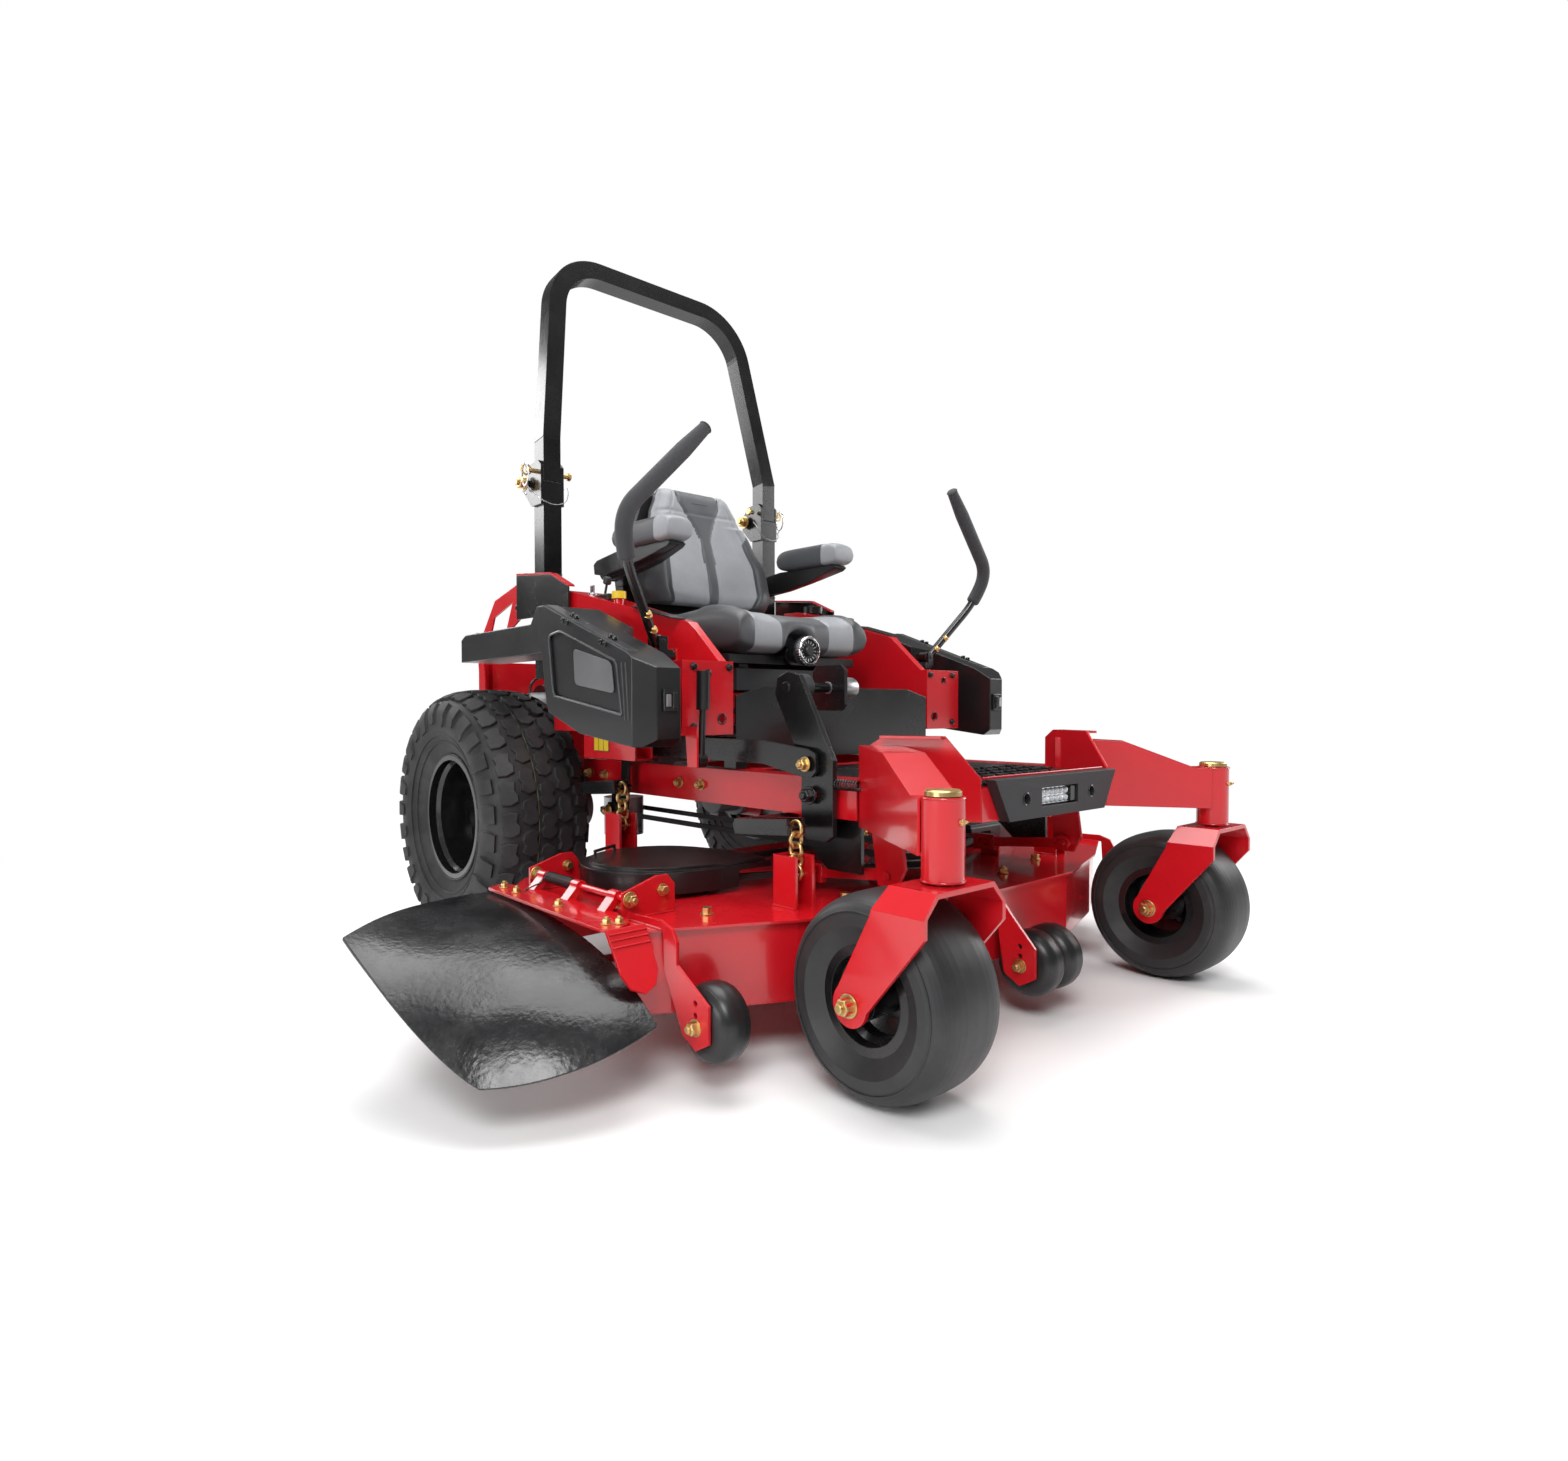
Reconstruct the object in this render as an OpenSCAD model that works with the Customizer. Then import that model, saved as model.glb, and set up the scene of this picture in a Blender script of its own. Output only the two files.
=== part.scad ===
// Zero turn mower with a side-discharge deck, two drive wheels, two casters,
// a suspended seat and a folding roll bar.
// X runs across the machine (positive to the operator's left), Y runs rearwards
// and Z runs up. The drawing frame has the rear axle on Y = 0 and the ground on
// Z = 0; place() moves it so that the origin is under the middle of the machine.

/* [Wheels] */
// Outside diameter of the rear tyres
rear_tyre_d = 660; // [644:2:664]
// Width of the rear tyres
rear_tyre_w = 276; // [260:2:280]
// Distance between the middles of the rear tyres
rear_track = 1032; // [1028:2:1040]
// Outside diameter of the caster tyres
caster_tyre_d = 330; // [320:2:332]
// Width of the caster tyres
caster_tyre_w = 164; // [150:2:166]
// Distance between the two caster pivots
caster_track = 974; // [966:2:980]
// Distance from the rear axle to the caster axles
wheelbase = 1381; // [1376:1:1386]
// Distance from a caster pivot back to its axle
caster_trail = 98; // [90:1:100]

/* [Mower deck] */
// Height of the deck's top plate above the ground
deck_top_z = 250; // [246:1:254]
// Depth of the deck's skirt below the top plate
skirt_depth = 145; // [135:1:146]
// Thickness of the deck's steel plate
deck_plate = 5; // [4:0.5:6]
// Length of each cutting blade
blade_len = 520; // [500:2:522]
// Distance from the middle spindle out to each side spindle
spindle_x = 495; // [490:1:498]
// Diameter of the anti-scalp rollers
roller_d = 130; // [120:1:132]

/* [Frame] */
// Distance between the middles of the two main rails
rail_spacing = 636; // [632:1:638]
// Width of each main rail
rail_w = 50; // [44:1:50]
// Height of each main rail
rail_h = 76; // [70:1:76]
// Height of the top of the main rails above the ground
rail_top = 480; // [478:1:482]

/* [Roll bar] */
// Height of the roll bar's top above the ground
rollbar_top = 1875; // [1800:5:1900]
// Height of the roll bar's folding hinge above the ground
hinge_z = 1213; // [1205:1:1215]
// Distance between the middles of the two roll bar posts
rollbar_w = 770; // [766:1:774]
// Width of the square roll bar tube
rollbar_tube = 52; // [50:1:54]

/* [Seat] */
// Width of the seat cushion
cushion_w = 476; // [460:2:480]
// Height of the top of the seat cushion's front edge
cushion_top = 850; // [846:1:852]
// Height of the top of the backrest
backrest_top = 1234; // [1210:2:1240]
// Height of the top of the armrests
armrest_top = 1082; // [1070:1:1086]

/* [Hidden] */
$fn = 72;

RIGHT = -1;
LEFT = 1;
RED = "#c8102e";
BLACK = "#1c1d1f";
STEEL = "#9a9ca0";
ZINC = "#b9a468";
RUBBER = "#303236";

// Place of the origin in the drawing frame
origin_x = -176;
origin_y = -538;

// Running clearance on a radius, and the gap left between parts that only touch
run_fit = 0.05;
part_gap = 0.4;

// Wheels
rear_r = rear_tyre_d / 2;
caster_r = caster_tyre_d / 2;
rear_rim_r = 152;
caster_rim_r = 76;
tyre_wall = 11;
caster_x = caster_track / 2;
pivot_y = -wheelbase - caster_trail;
barrel_bottom = 355;
barrel_top = 483;
barrel_d = 66;
stem_d = 32;
caster_axle_d = 19;

// Deck
skirt_bottom = deck_top_z - skirt_depth;
centre_spindle_y = -990;
side_spindle_y = -800;
spindle_d = 30;
blade_z = skirt_bottom + 22;
pulley_z = deck_top_z + 22;
upper_pulley_z = pulley_z + 18;
deck_pulley_r = 75;
clutch_r = 62;
crank_y = 150;
belt_w = 13;

// Lift linkage: every crank turns by the same angle as the pedal
lift_arm_len = 150;
front_shaft_y = -960;
front_shaft_z = 385;
rear_shaft_y = -380;
rear_shaft_z = 420;
crank_len = 60;
chain_x = 440;

// Ends of the struts between the front frame and the deck, as [y, z]
strut_front = [-1222, 305];
strut_rear = [-1010, 284];

// Roll bar
post_y = -86;
post_x = rollbar_w / 2;
post_foot_z = 690;

// Control levers
lever_base = [439, -694, 727];

// ---------------------------------------------------------------- helpers

// Moves the drawing frame onto the part's own origin
module place() translate([-origin_x, -origin_y, 0]) children();

// Draws its children on the left and mirrored on the right
module both_sides() { children(); mirror([1, 0, 0]) children(); }

// Draws its children, made for the left, on the side given
module side(s) if (s == LEFT) children(); else mirror([1, 0, 0]) children();

// A flat plate standing across X; its outline is drawn as [y, z]
module plate_x(x, t, pts)
    translate([x - t / 2, 0, 0]) rotate([90, 0, 90]) linear_extrude(t) polygon(pts);

// A flat plate standing across Y; its outline is drawn as [x, z]
module plate_y(y, t, pts)
    translate([0, y + t / 2, 0]) rotate([90, 0, 0]) linear_extrude(t) polygon(pts);

// A flat plate lying on height z; its outline is drawn as [x, y]
module plate_z(z, t, pts) translate([0, 0, z]) linear_extrude(t) polygon(pts);

module rod_x(x0, x1, y, z, d) translate([x0, y, z]) rotate([0, 90, 0]) cylinder(d = d, h = x1 - x0);
module rod_y(y0, y1, x, z, d) translate([x, y1, z]) rotate([90, 0, 0]) cylinder(d = d, h = y1 - y0);
module rod_z(z0, z1, x, y, d) translate([x, y, z0]) cylinder(d = d, h = z1 - z0);

// A box given by two opposite corners
module block(a, b) translate(a) cube(b - a);

// A round bar between two points
module strut(a, b, d) {
    v = b - a;
    translate(a) rotate([0, acos(v.z / norm(v)), atan2(v.y, v.x)]) cylinder(d = d, h = norm(v));
}

// A rectangular bar between two points, w wide and h high
module beam(a, b, w, h) {
    v = b - a;
    rise = atan2(v.z, norm([v.x, v.y]));
    translate(a) rotate([0, -rise, atan2(v.y, v.x)])
        translate([0, -w / 2, -h / 2]) cube([norm(v), w, h]);
}

// A round tube bent through the points given; each run is a shade thinner than
// the one before, as drawn tube is past a bend
module bent_tube(pts, d)
    for (i = [0:len(pts) - 2]) {
        strut(pts[i], pts[i + 1], d - 0.4 * i);
        if (i > 0) translate(pts[i]) sphere(d = d * 1.05);
    }

// A hexagon-headed bolt standing on z = 0, with its washer
module bolt(af, shank) {
    head_h = af * 0.62;
    cylinder(d = af * 1.45, h = 2);
    translate([0, 0, 2]) cylinder(d = af * 1.15, h = head_h, $fn = 6);
    if (shank > 0) translate([0, 0, -shank]) cylinder(d = af * 0.62, h = shank + 1);
}

// Rounded section of a tyre as [radius, width] points, from bead to bead
function tyre_outline(r, bead_r, half_w, wall) =
    let (mid = bead_r + (r - bead_r) * 0.45,
         rise = r - mid - wall,
         reach = half_w - wall)
    concat([[bead_r, half_w * 0.72 - wall * 0.55]],
        [for (a = [0:9:180])
            [mid + rise * pow(abs(sin(a)), 0.62), reach * sign(cos(a)) * pow(abs(cos(a)), 0.62)]],
        [[bead_r, -half_w * 0.72 + wall * 0.55]]);

// A hollow tyre round the X axis
module tyre(r, bead_r, half_w, wall)
    rotate([0, 90, 0]) rotate_extrude($fn = 120) difference() {
        polygon(tyre_outline(r, bead_r, half_w, 0));
        polygon([for (p = tyre_outline(r, bead_r, half_w, wall)) [p.x == bead_r ? p.x - 1 : p.x, p.y]]);
    }

// ---------------------------------------------------------------- wheels

rear_half = rear_tyre_w / 2;
rear_bead = rear_half * 0.72;
caster_half = caster_tyre_w / 2;
caster_bead = caster_half * 0.72;

// A pressed wheel round the X axis: rim barrel, two flanges and a dished disc at dish_x
module wheel(rim_r, bead, flange_r, dish_x, hub_r, hub_half, bore_r)
    rotate([0, 90, 0]) rotate_extrude($fn = 96) difference() {
        union() {
            polygon([[rim_r - 5, -bead - 6], [flange_r, -bead - 6], [flange_r, -bead - 1],
                [rim_r - part_gap, -bead - 1], [rim_r - part_gap, bead + 1], [flange_r, bead + 1],
                [flange_r, bead + 6], [rim_r - 5, bead + 6], [rim_r - 5, bead - 14],
                [rim_r - 12, bead - 24], [rim_r - 12, -bead + 24], [rim_r - 5, -bead + 14]]);
            polygon([[rim_r - 11, dish_x - 14], [rim_r - 11, dish_x - 6], [rim_r - 34, dish_x + 4],
                [hub_r - 1, dish_x + 4], [hub_r - 1, dish_x - 4], [rim_r - 36, dish_x - 4]]);
            translate([bore_r, -hub_half + dish_x]) square([hub_r - bore_r, hub_half * 2]);
        }
        translate([-1, -500]) square([bore_r + 1, 1000]);
    }

motor_hub_x = rear_track / 2 - rear_half - 2;
module rear_rim(s)
    color(BLACK) translate([s * rear_track / 2, 0, rear_r]) side(s) {
        difference() {
            wheel(rear_rim_r, rear_bead, rear_rim_r + 12, -20, 62, 16, 30);
            for (i = [0:4]) rotate([i * 72, 0, 0]) rod_x(-50, 10, 0, 48, 13);
        }
        // Drive hub reaching in to the wheel motor
        rod_x(motor_hub_x + part_gap - rear_track / 2, -8, 0, 0, 66);
        for (i = [0:4]) rotate([i * 72, 0, 0]) translate([-4, 0, 48]) rotate([0, 90, 0]) bolt(17, 14);
    }

module rear_tyre(s)
    color(RUBBER) translate([s * rear_track / 2, 0, rear_r])
        tyre(rear_r, rear_rim_r, rear_half, tyre_wall);

// Caster parts are drawn with the pivot on x = 0, y = 0
module at_caster(s) translate([s * caster_x, pivot_y, 0]) children();

module caster_rim(s)
    color(BLACK) at_caster(s) translate([0, caster_trail, caster_r])
        wheel(caster_rim_r, caster_bead, caster_rim_r + 12, 0, 30, 76, caster_axle_d / 2 + run_fit);

module caster_tyre(s)
    color(RUBBER) at_caster(s) translate([0, caster_trail, caster_r])
        tyre(caster_r, caster_rim_r, caster_half, tyre_wall);

// Fork bent from one strap: a chamfered top and two legs that trail back to the axle
fork_half = caster_half + 18;
fork_t = 8;
fork_top = barrel_bottom - 3;
module fork_section(inset)
    polygon([[-fork_half + inset, 100], [-fork_half + inset, fork_top - 34],
        [-fork_half + 30 + inset * 0.4, fork_top - inset], [fork_half - 30 - inset * 0.4, fork_top - inset],
        [fork_half - inset, fork_top - 34], [fork_half - inset, 100]]);

module caster_fork(s)
    color(RED) at_caster(s) {
        intersection() {
            translate([0, 300, 0]) rotate([90, 0, 0]) linear_extrude(600) difference() {
                fork_section(0);
                fork_section(fork_t);
            }
            translate([-200, 0, 0]) rotate([90, 0, 90]) linear_extrude(400) union() {
                translate([caster_trail, caster_r]) circle(r = 34);
                polygon([[-44, fork_top + 1], [46, fork_top + 1], [58, fork_top - 44],
                    [caster_trail + 33, caster_r + 8], [caster_trail - 33, caster_r - 6],
                    [-44, fork_top - 62]]);
            }
        }
        rod_z(fork_top - 2, barrel_top + 8, 0, 0, stem_d);
        rod_z(barrel_top + 1, barrel_top + 8, 0, 0, barrel_d - 12);
        rod_x(-fork_half + 2, fork_half - 2, caster_trail, caster_r, caster_axle_d);
        for (e = [-1, 1]) translate([e * fork_half, caster_trail, caster_r])
            rotate([0, e * 90, 0]) bolt(24, 4);
    }

// ---------------------------------------------------------------- frame

rail_x = rail_spacing / 2;
rail_bottom = rail_top - rail_h;
front_cross_y = -1170;
rear_cross_y = 400;

// A hollow rectangular tube along Y
module rail_tube(x, y0, y1, w, z0, z1, t)
    difference() {
        block([x - w / 2, y0, z0], [x + w / 2, y1, z1]);
        block([x - w / 2 + t, y0 - 1, z0 + t], [x + w / 2 - t, y1 + 1, z1 - t]);
    }

// A hollow rectangular tube along X, centred on x = 0
module cross_tube(y, x1, w, z0, z1, t)
    difference() {
        block([-x1, y - w / 2, z0], [x1, y + w / 2, z1]);
        block([-x1 - 1, y - w / 2 + t, z0 + t], [x1 + 1, y + w / 2 - t, z1 - t]);
    }

motor_plate_x = rail_x + rail_w / 2 + 3;
pedal_pivot = [-1075, 447];
module main_frame()
    color(RED) difference() {
        union() {
            both_sides() {
                rail_tube(rail_x, front_cross_y, rear_cross_y, rail_w, rail_bottom, rail_top, 5);
                // Plate that carries the wheel motor
                plate_x(motor_plate_x, 8, [[-110, 260], [110, 260], [150, rail_top], [-190, rail_top],
                    [-190, rail_bottom]]);
                // Hangers of the front lift shaft
                plate_x(rail_x - 20, 8, [[front_shaft_y - 40, rail_bottom + 4], [front_shaft_y - 28, 352],
                    [front_shaft_y + 28, 352], [front_shaft_y + 40, rail_bottom + 4]]);
                // Column that carries the roll bar post
                block([rail_x - 25, post_y - 45, rail_top - 1], [rail_x + 25, post_y + 45, 800]);
                block([rail_x + 24, post_y - 26, post_foot_z + 6], [post_x - rollbar_tube / 2 - part_gap,
                    post_y + 26, 795]);
            }
            cross_tube(rear_cross_y - 25, rail_x, 50, rail_bottom, rail_top, 5);
            cross_tube(-520, rail_x, 50, rail_bottom, rail_top, 5);
            cross_tube(-790, rail_x, 40, rail_bottom, rail_top, 4);
            // Engine plate
            block([-rail_x, -190, rail_top - 8], [rail_x, rear_cross_y - 49, rail_top]);
            // Hitch plate behind the rear cross tube
            block([-70, rear_cross_y - 1, rail_bottom], [70, rear_cross_y + 62, rail_bottom + 10]);
            // Pin that the lift pedal turns on
            rod_x(-rail_x - 62, -rail_x - 24, pedal_pivot[0], pedal_pivot[1], 20);
        }
        // Holes for the engine's shaft and the hitch pin
        rod_z(rail_top - 20, rail_top + 1, 0, crank_y, 120);
        rod_z(rail_bottom - 1, rail_bottom + 11, 0, rear_cross_y + 35, 19);
        both_sides() {
            rod_x(motor_plate_x - 9, motor_plate_x + 9, 0, rear_r, 102);
            // Hollow of the column
            block([rail_x - 20, post_y - 40, rail_top], [rail_x + 20, post_y + 40, 801]);
        }
        // Bores of the two lift shafts
        rod_x(-400, 400, rear_shaft_y, rear_shaft_z, 30 + 2 * run_fit);
        rod_x(-400, 400, front_shaft_y, front_shaft_z, 30 + 2 * run_fit);
    }

// Caster arms: box sections that run forwards and outwards to the pivot barrels
arm_root = [rail_x, front_cross_y - 40];
arm_run = [caster_x, pivot_y] - arm_root;
arm_w = 76;
arm_floor = 393;
arm_wall = 5;
module caster_arm_profile(inset)
    polygon([[-20 - inset, arm_floor + inset], [-20 - inset, 545 - inset], [130, 538 - inset],
        [norm(arm_run) - 40, 481 - inset], [norm(arm_run) - 8 + inset, 481 - inset], [norm(arm_run) - 8 + inset, arm_floor + inset]]);

module caster_arm()
    translate([arm_root.x, arm_root.y, 0]) rotate([0, 0, atan2(arm_run.y, arm_run.x)]) difference() {
        translate([0, arm_w / 2, 0]) rotate([90, 0, 0]) linear_extrude(arm_w) caster_arm_profile(0);
        translate([0, arm_w / 2 - arm_wall, 0]) rotate([90, 0, 0])
            linear_extrude(arm_w - 2 * arm_wall) caster_arm_profile(arm_wall);
    }

// Side plates of the footwell, with a folded top edge
well_rear = [303, -1186];
well_front = [230, -1366];
well_run = well_front - well_rear;
module footwell_side()
    translate([well_rear.x, well_rear.y, 0]) rotate([0, 0, atan2(well_run.y, well_run.x)]) {
        rotate([90, 0, 0]) linear_extrude(6) polygon([[-14, 402], [-14, 545], [14, 563], [128, 563],
            [norm(well_run), 488], [norm(well_run), 410]]);
        translate([12, -2, 558]) cube([116, 26, 5]);
    }

module front_frame()
    color(RED) difference() {
        union() {
            both_sides() {
                caster_arm();
                footwell_side();
                rod_z(barrel_bottom, barrel_top, caster_x, pivot_y, barrel_d);
                // Bracket of the deck's push struts
                plate_x(rail_x - 8, 8, [[-1198, 284], [-1242, 284], [-1262, 320], [-1250, arm_floor + 4],
                    [-1180, arm_floor + 4]]);
            }
            translate([0, front_cross_y - 40, 0]) cross_tube(0, rail_x + 20, 74, arm_floor + 3, 466, 5);
            // Front sill under the edge of the platform
            block([-226, -1366, 409], [226, -1360, 470]);
        }
        both_sides() {
            rod_z(barrel_bottom - 1, barrel_top + 1, caster_x, pivot_y, stem_d + 2 * run_fit);
            rod_x(rail_x - 20, rail_x + 20, strut_front[0], strut_front[1], 16 + 2 * run_fit);
        }
    }

module foot_platform()
    color(BLACK) {
        plate_z(473, 6, [[-214, -1358], [214, -1358], [258, -1248], [286, -1170], [286, -835],
            [-286, -835], [-286, -1170], [-258, -1248]]);
        for (row = [0:4], i = [-4:4])
            if (abs(i) < 4 || row > 1)
                rod_z(478, 484, i * 48, -1335 + row * 46, 26);
    }

// Shallow plastic bumper, wider at its top, with a recess for the lamp
module front_bumper()
    color("#3a3c40") difference() {
        plate_y(-1378, 22, [[-172, 408], [172, 408], [218, 486], [-218, 486]]);
        for (x = [-118, 118]) rod_y(-1392, -1364, x, 446, 20);
        block([-66, -1392, 428], [66, -1376, 464]);
    }

// ---------------------------------------------------------------- body

console_in = 333;
console_floor = 556;
box_top = 713;
module console_side_profile(inset)
    polygon([[-800 + inset, console_floor - (inset > 0 ? 2 : 0)], [-800 + inset, box_top - inset],
        [-778, box_top - inset], [-672 + inset, 806 - inset], [-300, 902 - inset],
        [-240 - inset, 902 - inset], [-240 - inset, console_floor - (inset > 0 ? 2 : 0)]]);
module console_plan(inset)
    polygon([[console_in + inset, -801], [354 - inset, -801], [354 - inset, -694],
        [454 - inset, -300], [454 - inset, -239], [console_in + inset, -239]]);

// Sheet-metal console: a box in front and a sloped pod behind it
module console_shell(inset)
    intersection() {
        translate([console_in - 1, 0, 0]) rotate([90, 0, 90]) linear_extrude(200)
            console_side_profile(inset);
        translate([0, 0, 500]) linear_extrude(500) console_plan(inset);
    }

module console(s)
    side(s) difference() {
        union() {
            difference() {
                union() {
                    console_shell(0);
                    block([console_in, -800, console_floor], [469, -560, box_top]);
                }
                console_shell(4);
                block([console_in + 4, -796, console_floor - 2], [465, -556, box_top - 4]);
            }
            // Outrigger under the tank
            block([404, -600, 494], [452, -380, console_floor + 2]);
            // Ears and pin that carry the control lever's hub
            for (x = [412, 464]) plate_x(x, 5, [[-705, box_top - 2], [-702, 742], [-686, 742],
                [-683, box_top - 2]]);
            rod_x(410, 466, lever_base.y, lever_base.z, 10);
        }
        block([409, -601, 499], [447, -379, console_floor + 3]);
        // Two accessory holes in the front of the box
        rod_y(-801, -795, 402, 686, 14);
        rod_y(-801, -795, 364, 590, 20);
    }

brake_pivot = [-822, 505];
module consoles()
    color(RED) {
        difference() {
            union() {
                console(RIGHT);
                // Collar of the blade switch
                rod_z(836, 872, -396, -450, 24);
            }
            rod_z(800, 880, -396, -450, 10 + 2 * run_fit);
        }
        difference() {
            console(LEFT);
            rod_z(880, 910, 412, -290, 40 + 2 * run_fit);
        }
        // Bracket and pin of the parking brake
        plate_x(-458, 5, [[-838, 575], [-838, 492], [-806, 492], [-798, 575]]);
        rod_x(-460, -420, brake_pivot[0], brake_pivot[1], 12);
    }

suspension_y = [-620, -330];
guide_x = 110;
module platform_panels()
    color(BLACK) {
        // Floor under the seat and the consoles, with its spacers on the rails
        plate_z(545, 6, [[-330, -794], [330, -794], [330, -244], [-330, -244]]);
        both_sides() for (y = [-780, -300])
            block([rail_x - 24, y - 20, rail_top + part_gap], [rail_x + 8, y + 20, 545.5]);
        // Panel below the front of the seat
        plate_y(-799, 5, [[-326, 500], [326, 500], [326, 640], [250, 660], [-250, 660], [-326, 640]]);
        plate_x(0, 520, [[-797, 652], [-797, 646], [-700, 600], [-700, 606]]);
        // Base of the seat suspension with its two guide posts
        block([-165, suspension_y[0], 551], [165, suspension_y[1], 570]);
        both_sides() rod_z(569, 660, guide_x, -475, 30);
        // Trays on the consoles
        both_sides() beam([372, -655, 813], [386, -520, 847.5], 44, 3);
        // Plates below the front of the rails
        both_sides() plate_x(rail_x + 2, 8, [[-1165, 300], [-1165, rail_bottom - part_gap],
            [-1010, rail_bottom - part_gap], [-1010, 356], [-1075, 300]]);
        // Screens beside the roll bar posts
        both_sides() plate_x(462, 4, [[-60, 962], [-242, 946], [-330, 908], [-330, 845], [-60, 845]]);
        both_sides() block([post_x + 26.4, post_y - 24, 860], [460.5, post_y - 4, 864]);
    }

// Moulded side tank: a ribbed panel in front and a fender over the tyre
tank_in = 474;
tank_out = 614;
module fuel_tank()
    difference() {
        intersection() {
            translate([tank_in, 0, 0]) rotate([90, 0, 90]) linear_extrude(tank_out - tank_in)
                polygon([[-868, 552], [-846, 537], [-640, 560], [-506, 604], [-490, 660], [-480, 735],
                    [8, 730], [8, 788], [-20, 800], [-402, 803], [-450, 838], [-490, 838],
                    [-816, 722], [-868, 692]]);
            translate([0, 0, 500]) linear_extrude(400) polygon([[522, -870], [576, -870],
                [tank_out, -834], [tank_out, -470], [600, -400], [586, 10], [tank_in, 10],
                [tank_in, -630], [522, -660]]);
        }
        // Recess of the side panel
        translate([tank_out - 5, 0, 0]) rotate([90, 0, 90]) linear_extrude(10)
            polygon([[-800, 600], [-530, 640], [-510, 770], [-560, 778], [-780, 706]]);
    }

module fuel_tanks()
    color(BLACK) both_sides() {
        fuel_tank();
        // Straps that hold the tank to the console
        block([470, -600, 600], [tank_in + 1, -580, 690]);
    }

module fuel_cap()
    color(BLACK) {
        rod_z(884, 903, 412, -290, 40);
        rod_z(902.5, 924, 412, -290, 62);
    }

// Side plate of the rear guard with its chevron cut-out
module guard_side()
    plate_x(post_x + rollbar_tube / 2 + 3, 5, [[-84, 962], [30, 952], [170, 918], [288, 785],
        [272, 640], [238, 640], [250, 768], [196, 830], [176, 870], [60, 905], [96, 836], [60, 836],
        [-10, 868], [-84, 878]]);

module rear_guard()
    color(RED) {
        both_sides() {
            guard_side();
            beam([414, 280, 700], [300, 462, 700], 5, 118);
            // Arm from the guard down to the rear cross tube
            plate_x(300, 6, [[400.5, 408], [462, 408], [466, 748], [430, 748], [425, 500], [400.5, 470]]);
            // Folded edge on top of the screen
            plate_x(455, 18, [[-60, 962.4], [-60, 967], [-241, 951], [-330, 913], [-330, 908.4],
                [-242, 946.4]]);
        }
        block([-301, 462, 644], [301, 467, 756]);
    }

// ---------------------------------------------------------------- roll bar

ear_gap = rollbar_tube / 2 - 0.5;
hoop_tube = rollbar_tube - 2;
hinge_y = post_y + 44;
module rollbar_post()
    difference() {
        union() {
            block([post_x - rollbar_tube / 2, post_y - rollbar_tube / 2, post_foot_z],
                [post_x + rollbar_tube / 2, post_y + rollbar_tube / 2, hinge_z - 1]);
            for (e = [-1, 1]) plate_x(post_x + e * (ear_gap + 4), 8, [[post_y - 26, 1150],
                [post_y - 26, hinge_z + 40], [post_y - 10, hinge_z + 54], [hinge_y - 6, hinge_z + 48],
                [hinge_y + 22, hinge_z + 16], [hinge_y + 22, hinge_z - 24], [post_y + 26, 1150]]);
        }
        rod_x(post_x - 60, post_x + 60, hinge_y, hinge_z, 18 + 2 * run_fit);
        rod_x(post_x + 20, post_x + 60, post_y, hinge_z + 26, 12 + 2 * run_fit);
        block([post_x - rollbar_tube / 2 + 4, post_y - rollbar_tube / 2 + 4, post_foot_z - 1],
            [post_x + rollbar_tube / 2 - 4, post_y + rollbar_tube / 2 - 4, hinge_z - 5]);
    }
module rollbar_posts() color(BLACK) both_sides() rollbar_post();

// The hoop leans back and inwards above a kink; its corners are large arcs
kink_z = 1330;
hoop_lean = 9;
leg_lean = 8;
bend_r = 150;
hoop_rise = (rollbar_top - hoop_tube / 2 - kink_z) / cos(hoop_lean);
bend_turn = 90 - leg_lean;
bend_steps = 16;
corner_x = post_x - hoop_rise * tan(leg_lean);
tangent = bend_r * tan(bend_turn / 2);
bend_centre = [corner_x - tangent, hoop_rise - bend_r];

// Left edge of the hoop at a distance out from the middle of its tube, from
// the kink up to the end of the corner
function hoop_edge(out) = concat(
    [[post_x, 0] + 9 * [sin(leg_lean), -cos(leg_lean)] + out * [cos(leg_lean), sin(leg_lean)]],
    [for (i = [0:bend_steps]) let (a = leg_lean + bend_turn * i / bend_steps)
        bend_centre + (bend_r + out) * [cos(a), sin(a)]]);
function flipped(pts) = [for (p = pts) [-p.x, p.y]];
function reversed(pts) = [for (i = [len(pts) - 1:-1:0]) pts[i]];

module hoop_solid(w, over) {
    both_sides() block([post_x - w / 2, post_y - w / 2, hinge_z + 1 - over],
        [post_x + w / 2, post_y + w / 2, kink_z]);
    translate([0, post_y, kink_z]) rotate([90 - hoop_lean, 0, 0]) translate([0, 0, -w / 2])
        linear_extrude(w) polygon(concat(hoop_edge(w / 2), reversed(flipped(hoop_edge(w / 2))),
            flipped(hoop_edge(-w / 2)), reversed(hoop_edge(-w / 2))));
}
module rollbar_hoop()
    color(BLACK) {
        difference() {
            hoop_solid(hoop_tube, 0);
            hoop_solid(hoop_tube - 7, 5);
        }
        both_sides() {
            rod_x(post_x - 20, post_x + 20, hinge_y, hinge_z, 34);
            block([post_x - 20, post_y + hoop_tube / 2 - 1, hinge_z + 1],
                [post_x + 20, hinge_y + 16, hinge_z + 30]);
        }
        // Hinge bolts
        both_sides() rod_x(post_x - 44, post_x + 44, hinge_y, hinge_z, 18);
    }

module lock_pin(s)
    color(ZINC) side(s) {
        rod_x(post_x + ear_gap + 0.5, post_x + 62, post_y, hinge_z + 26, 12);
        translate([post_x + 62, post_y, hinge_z + 26]) rotate([90, 0, 0])
            rotate_extrude() translate([13, 0]) circle(d = 5);
    }

// ---------------------------------------------------------------- engine and drive

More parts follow.
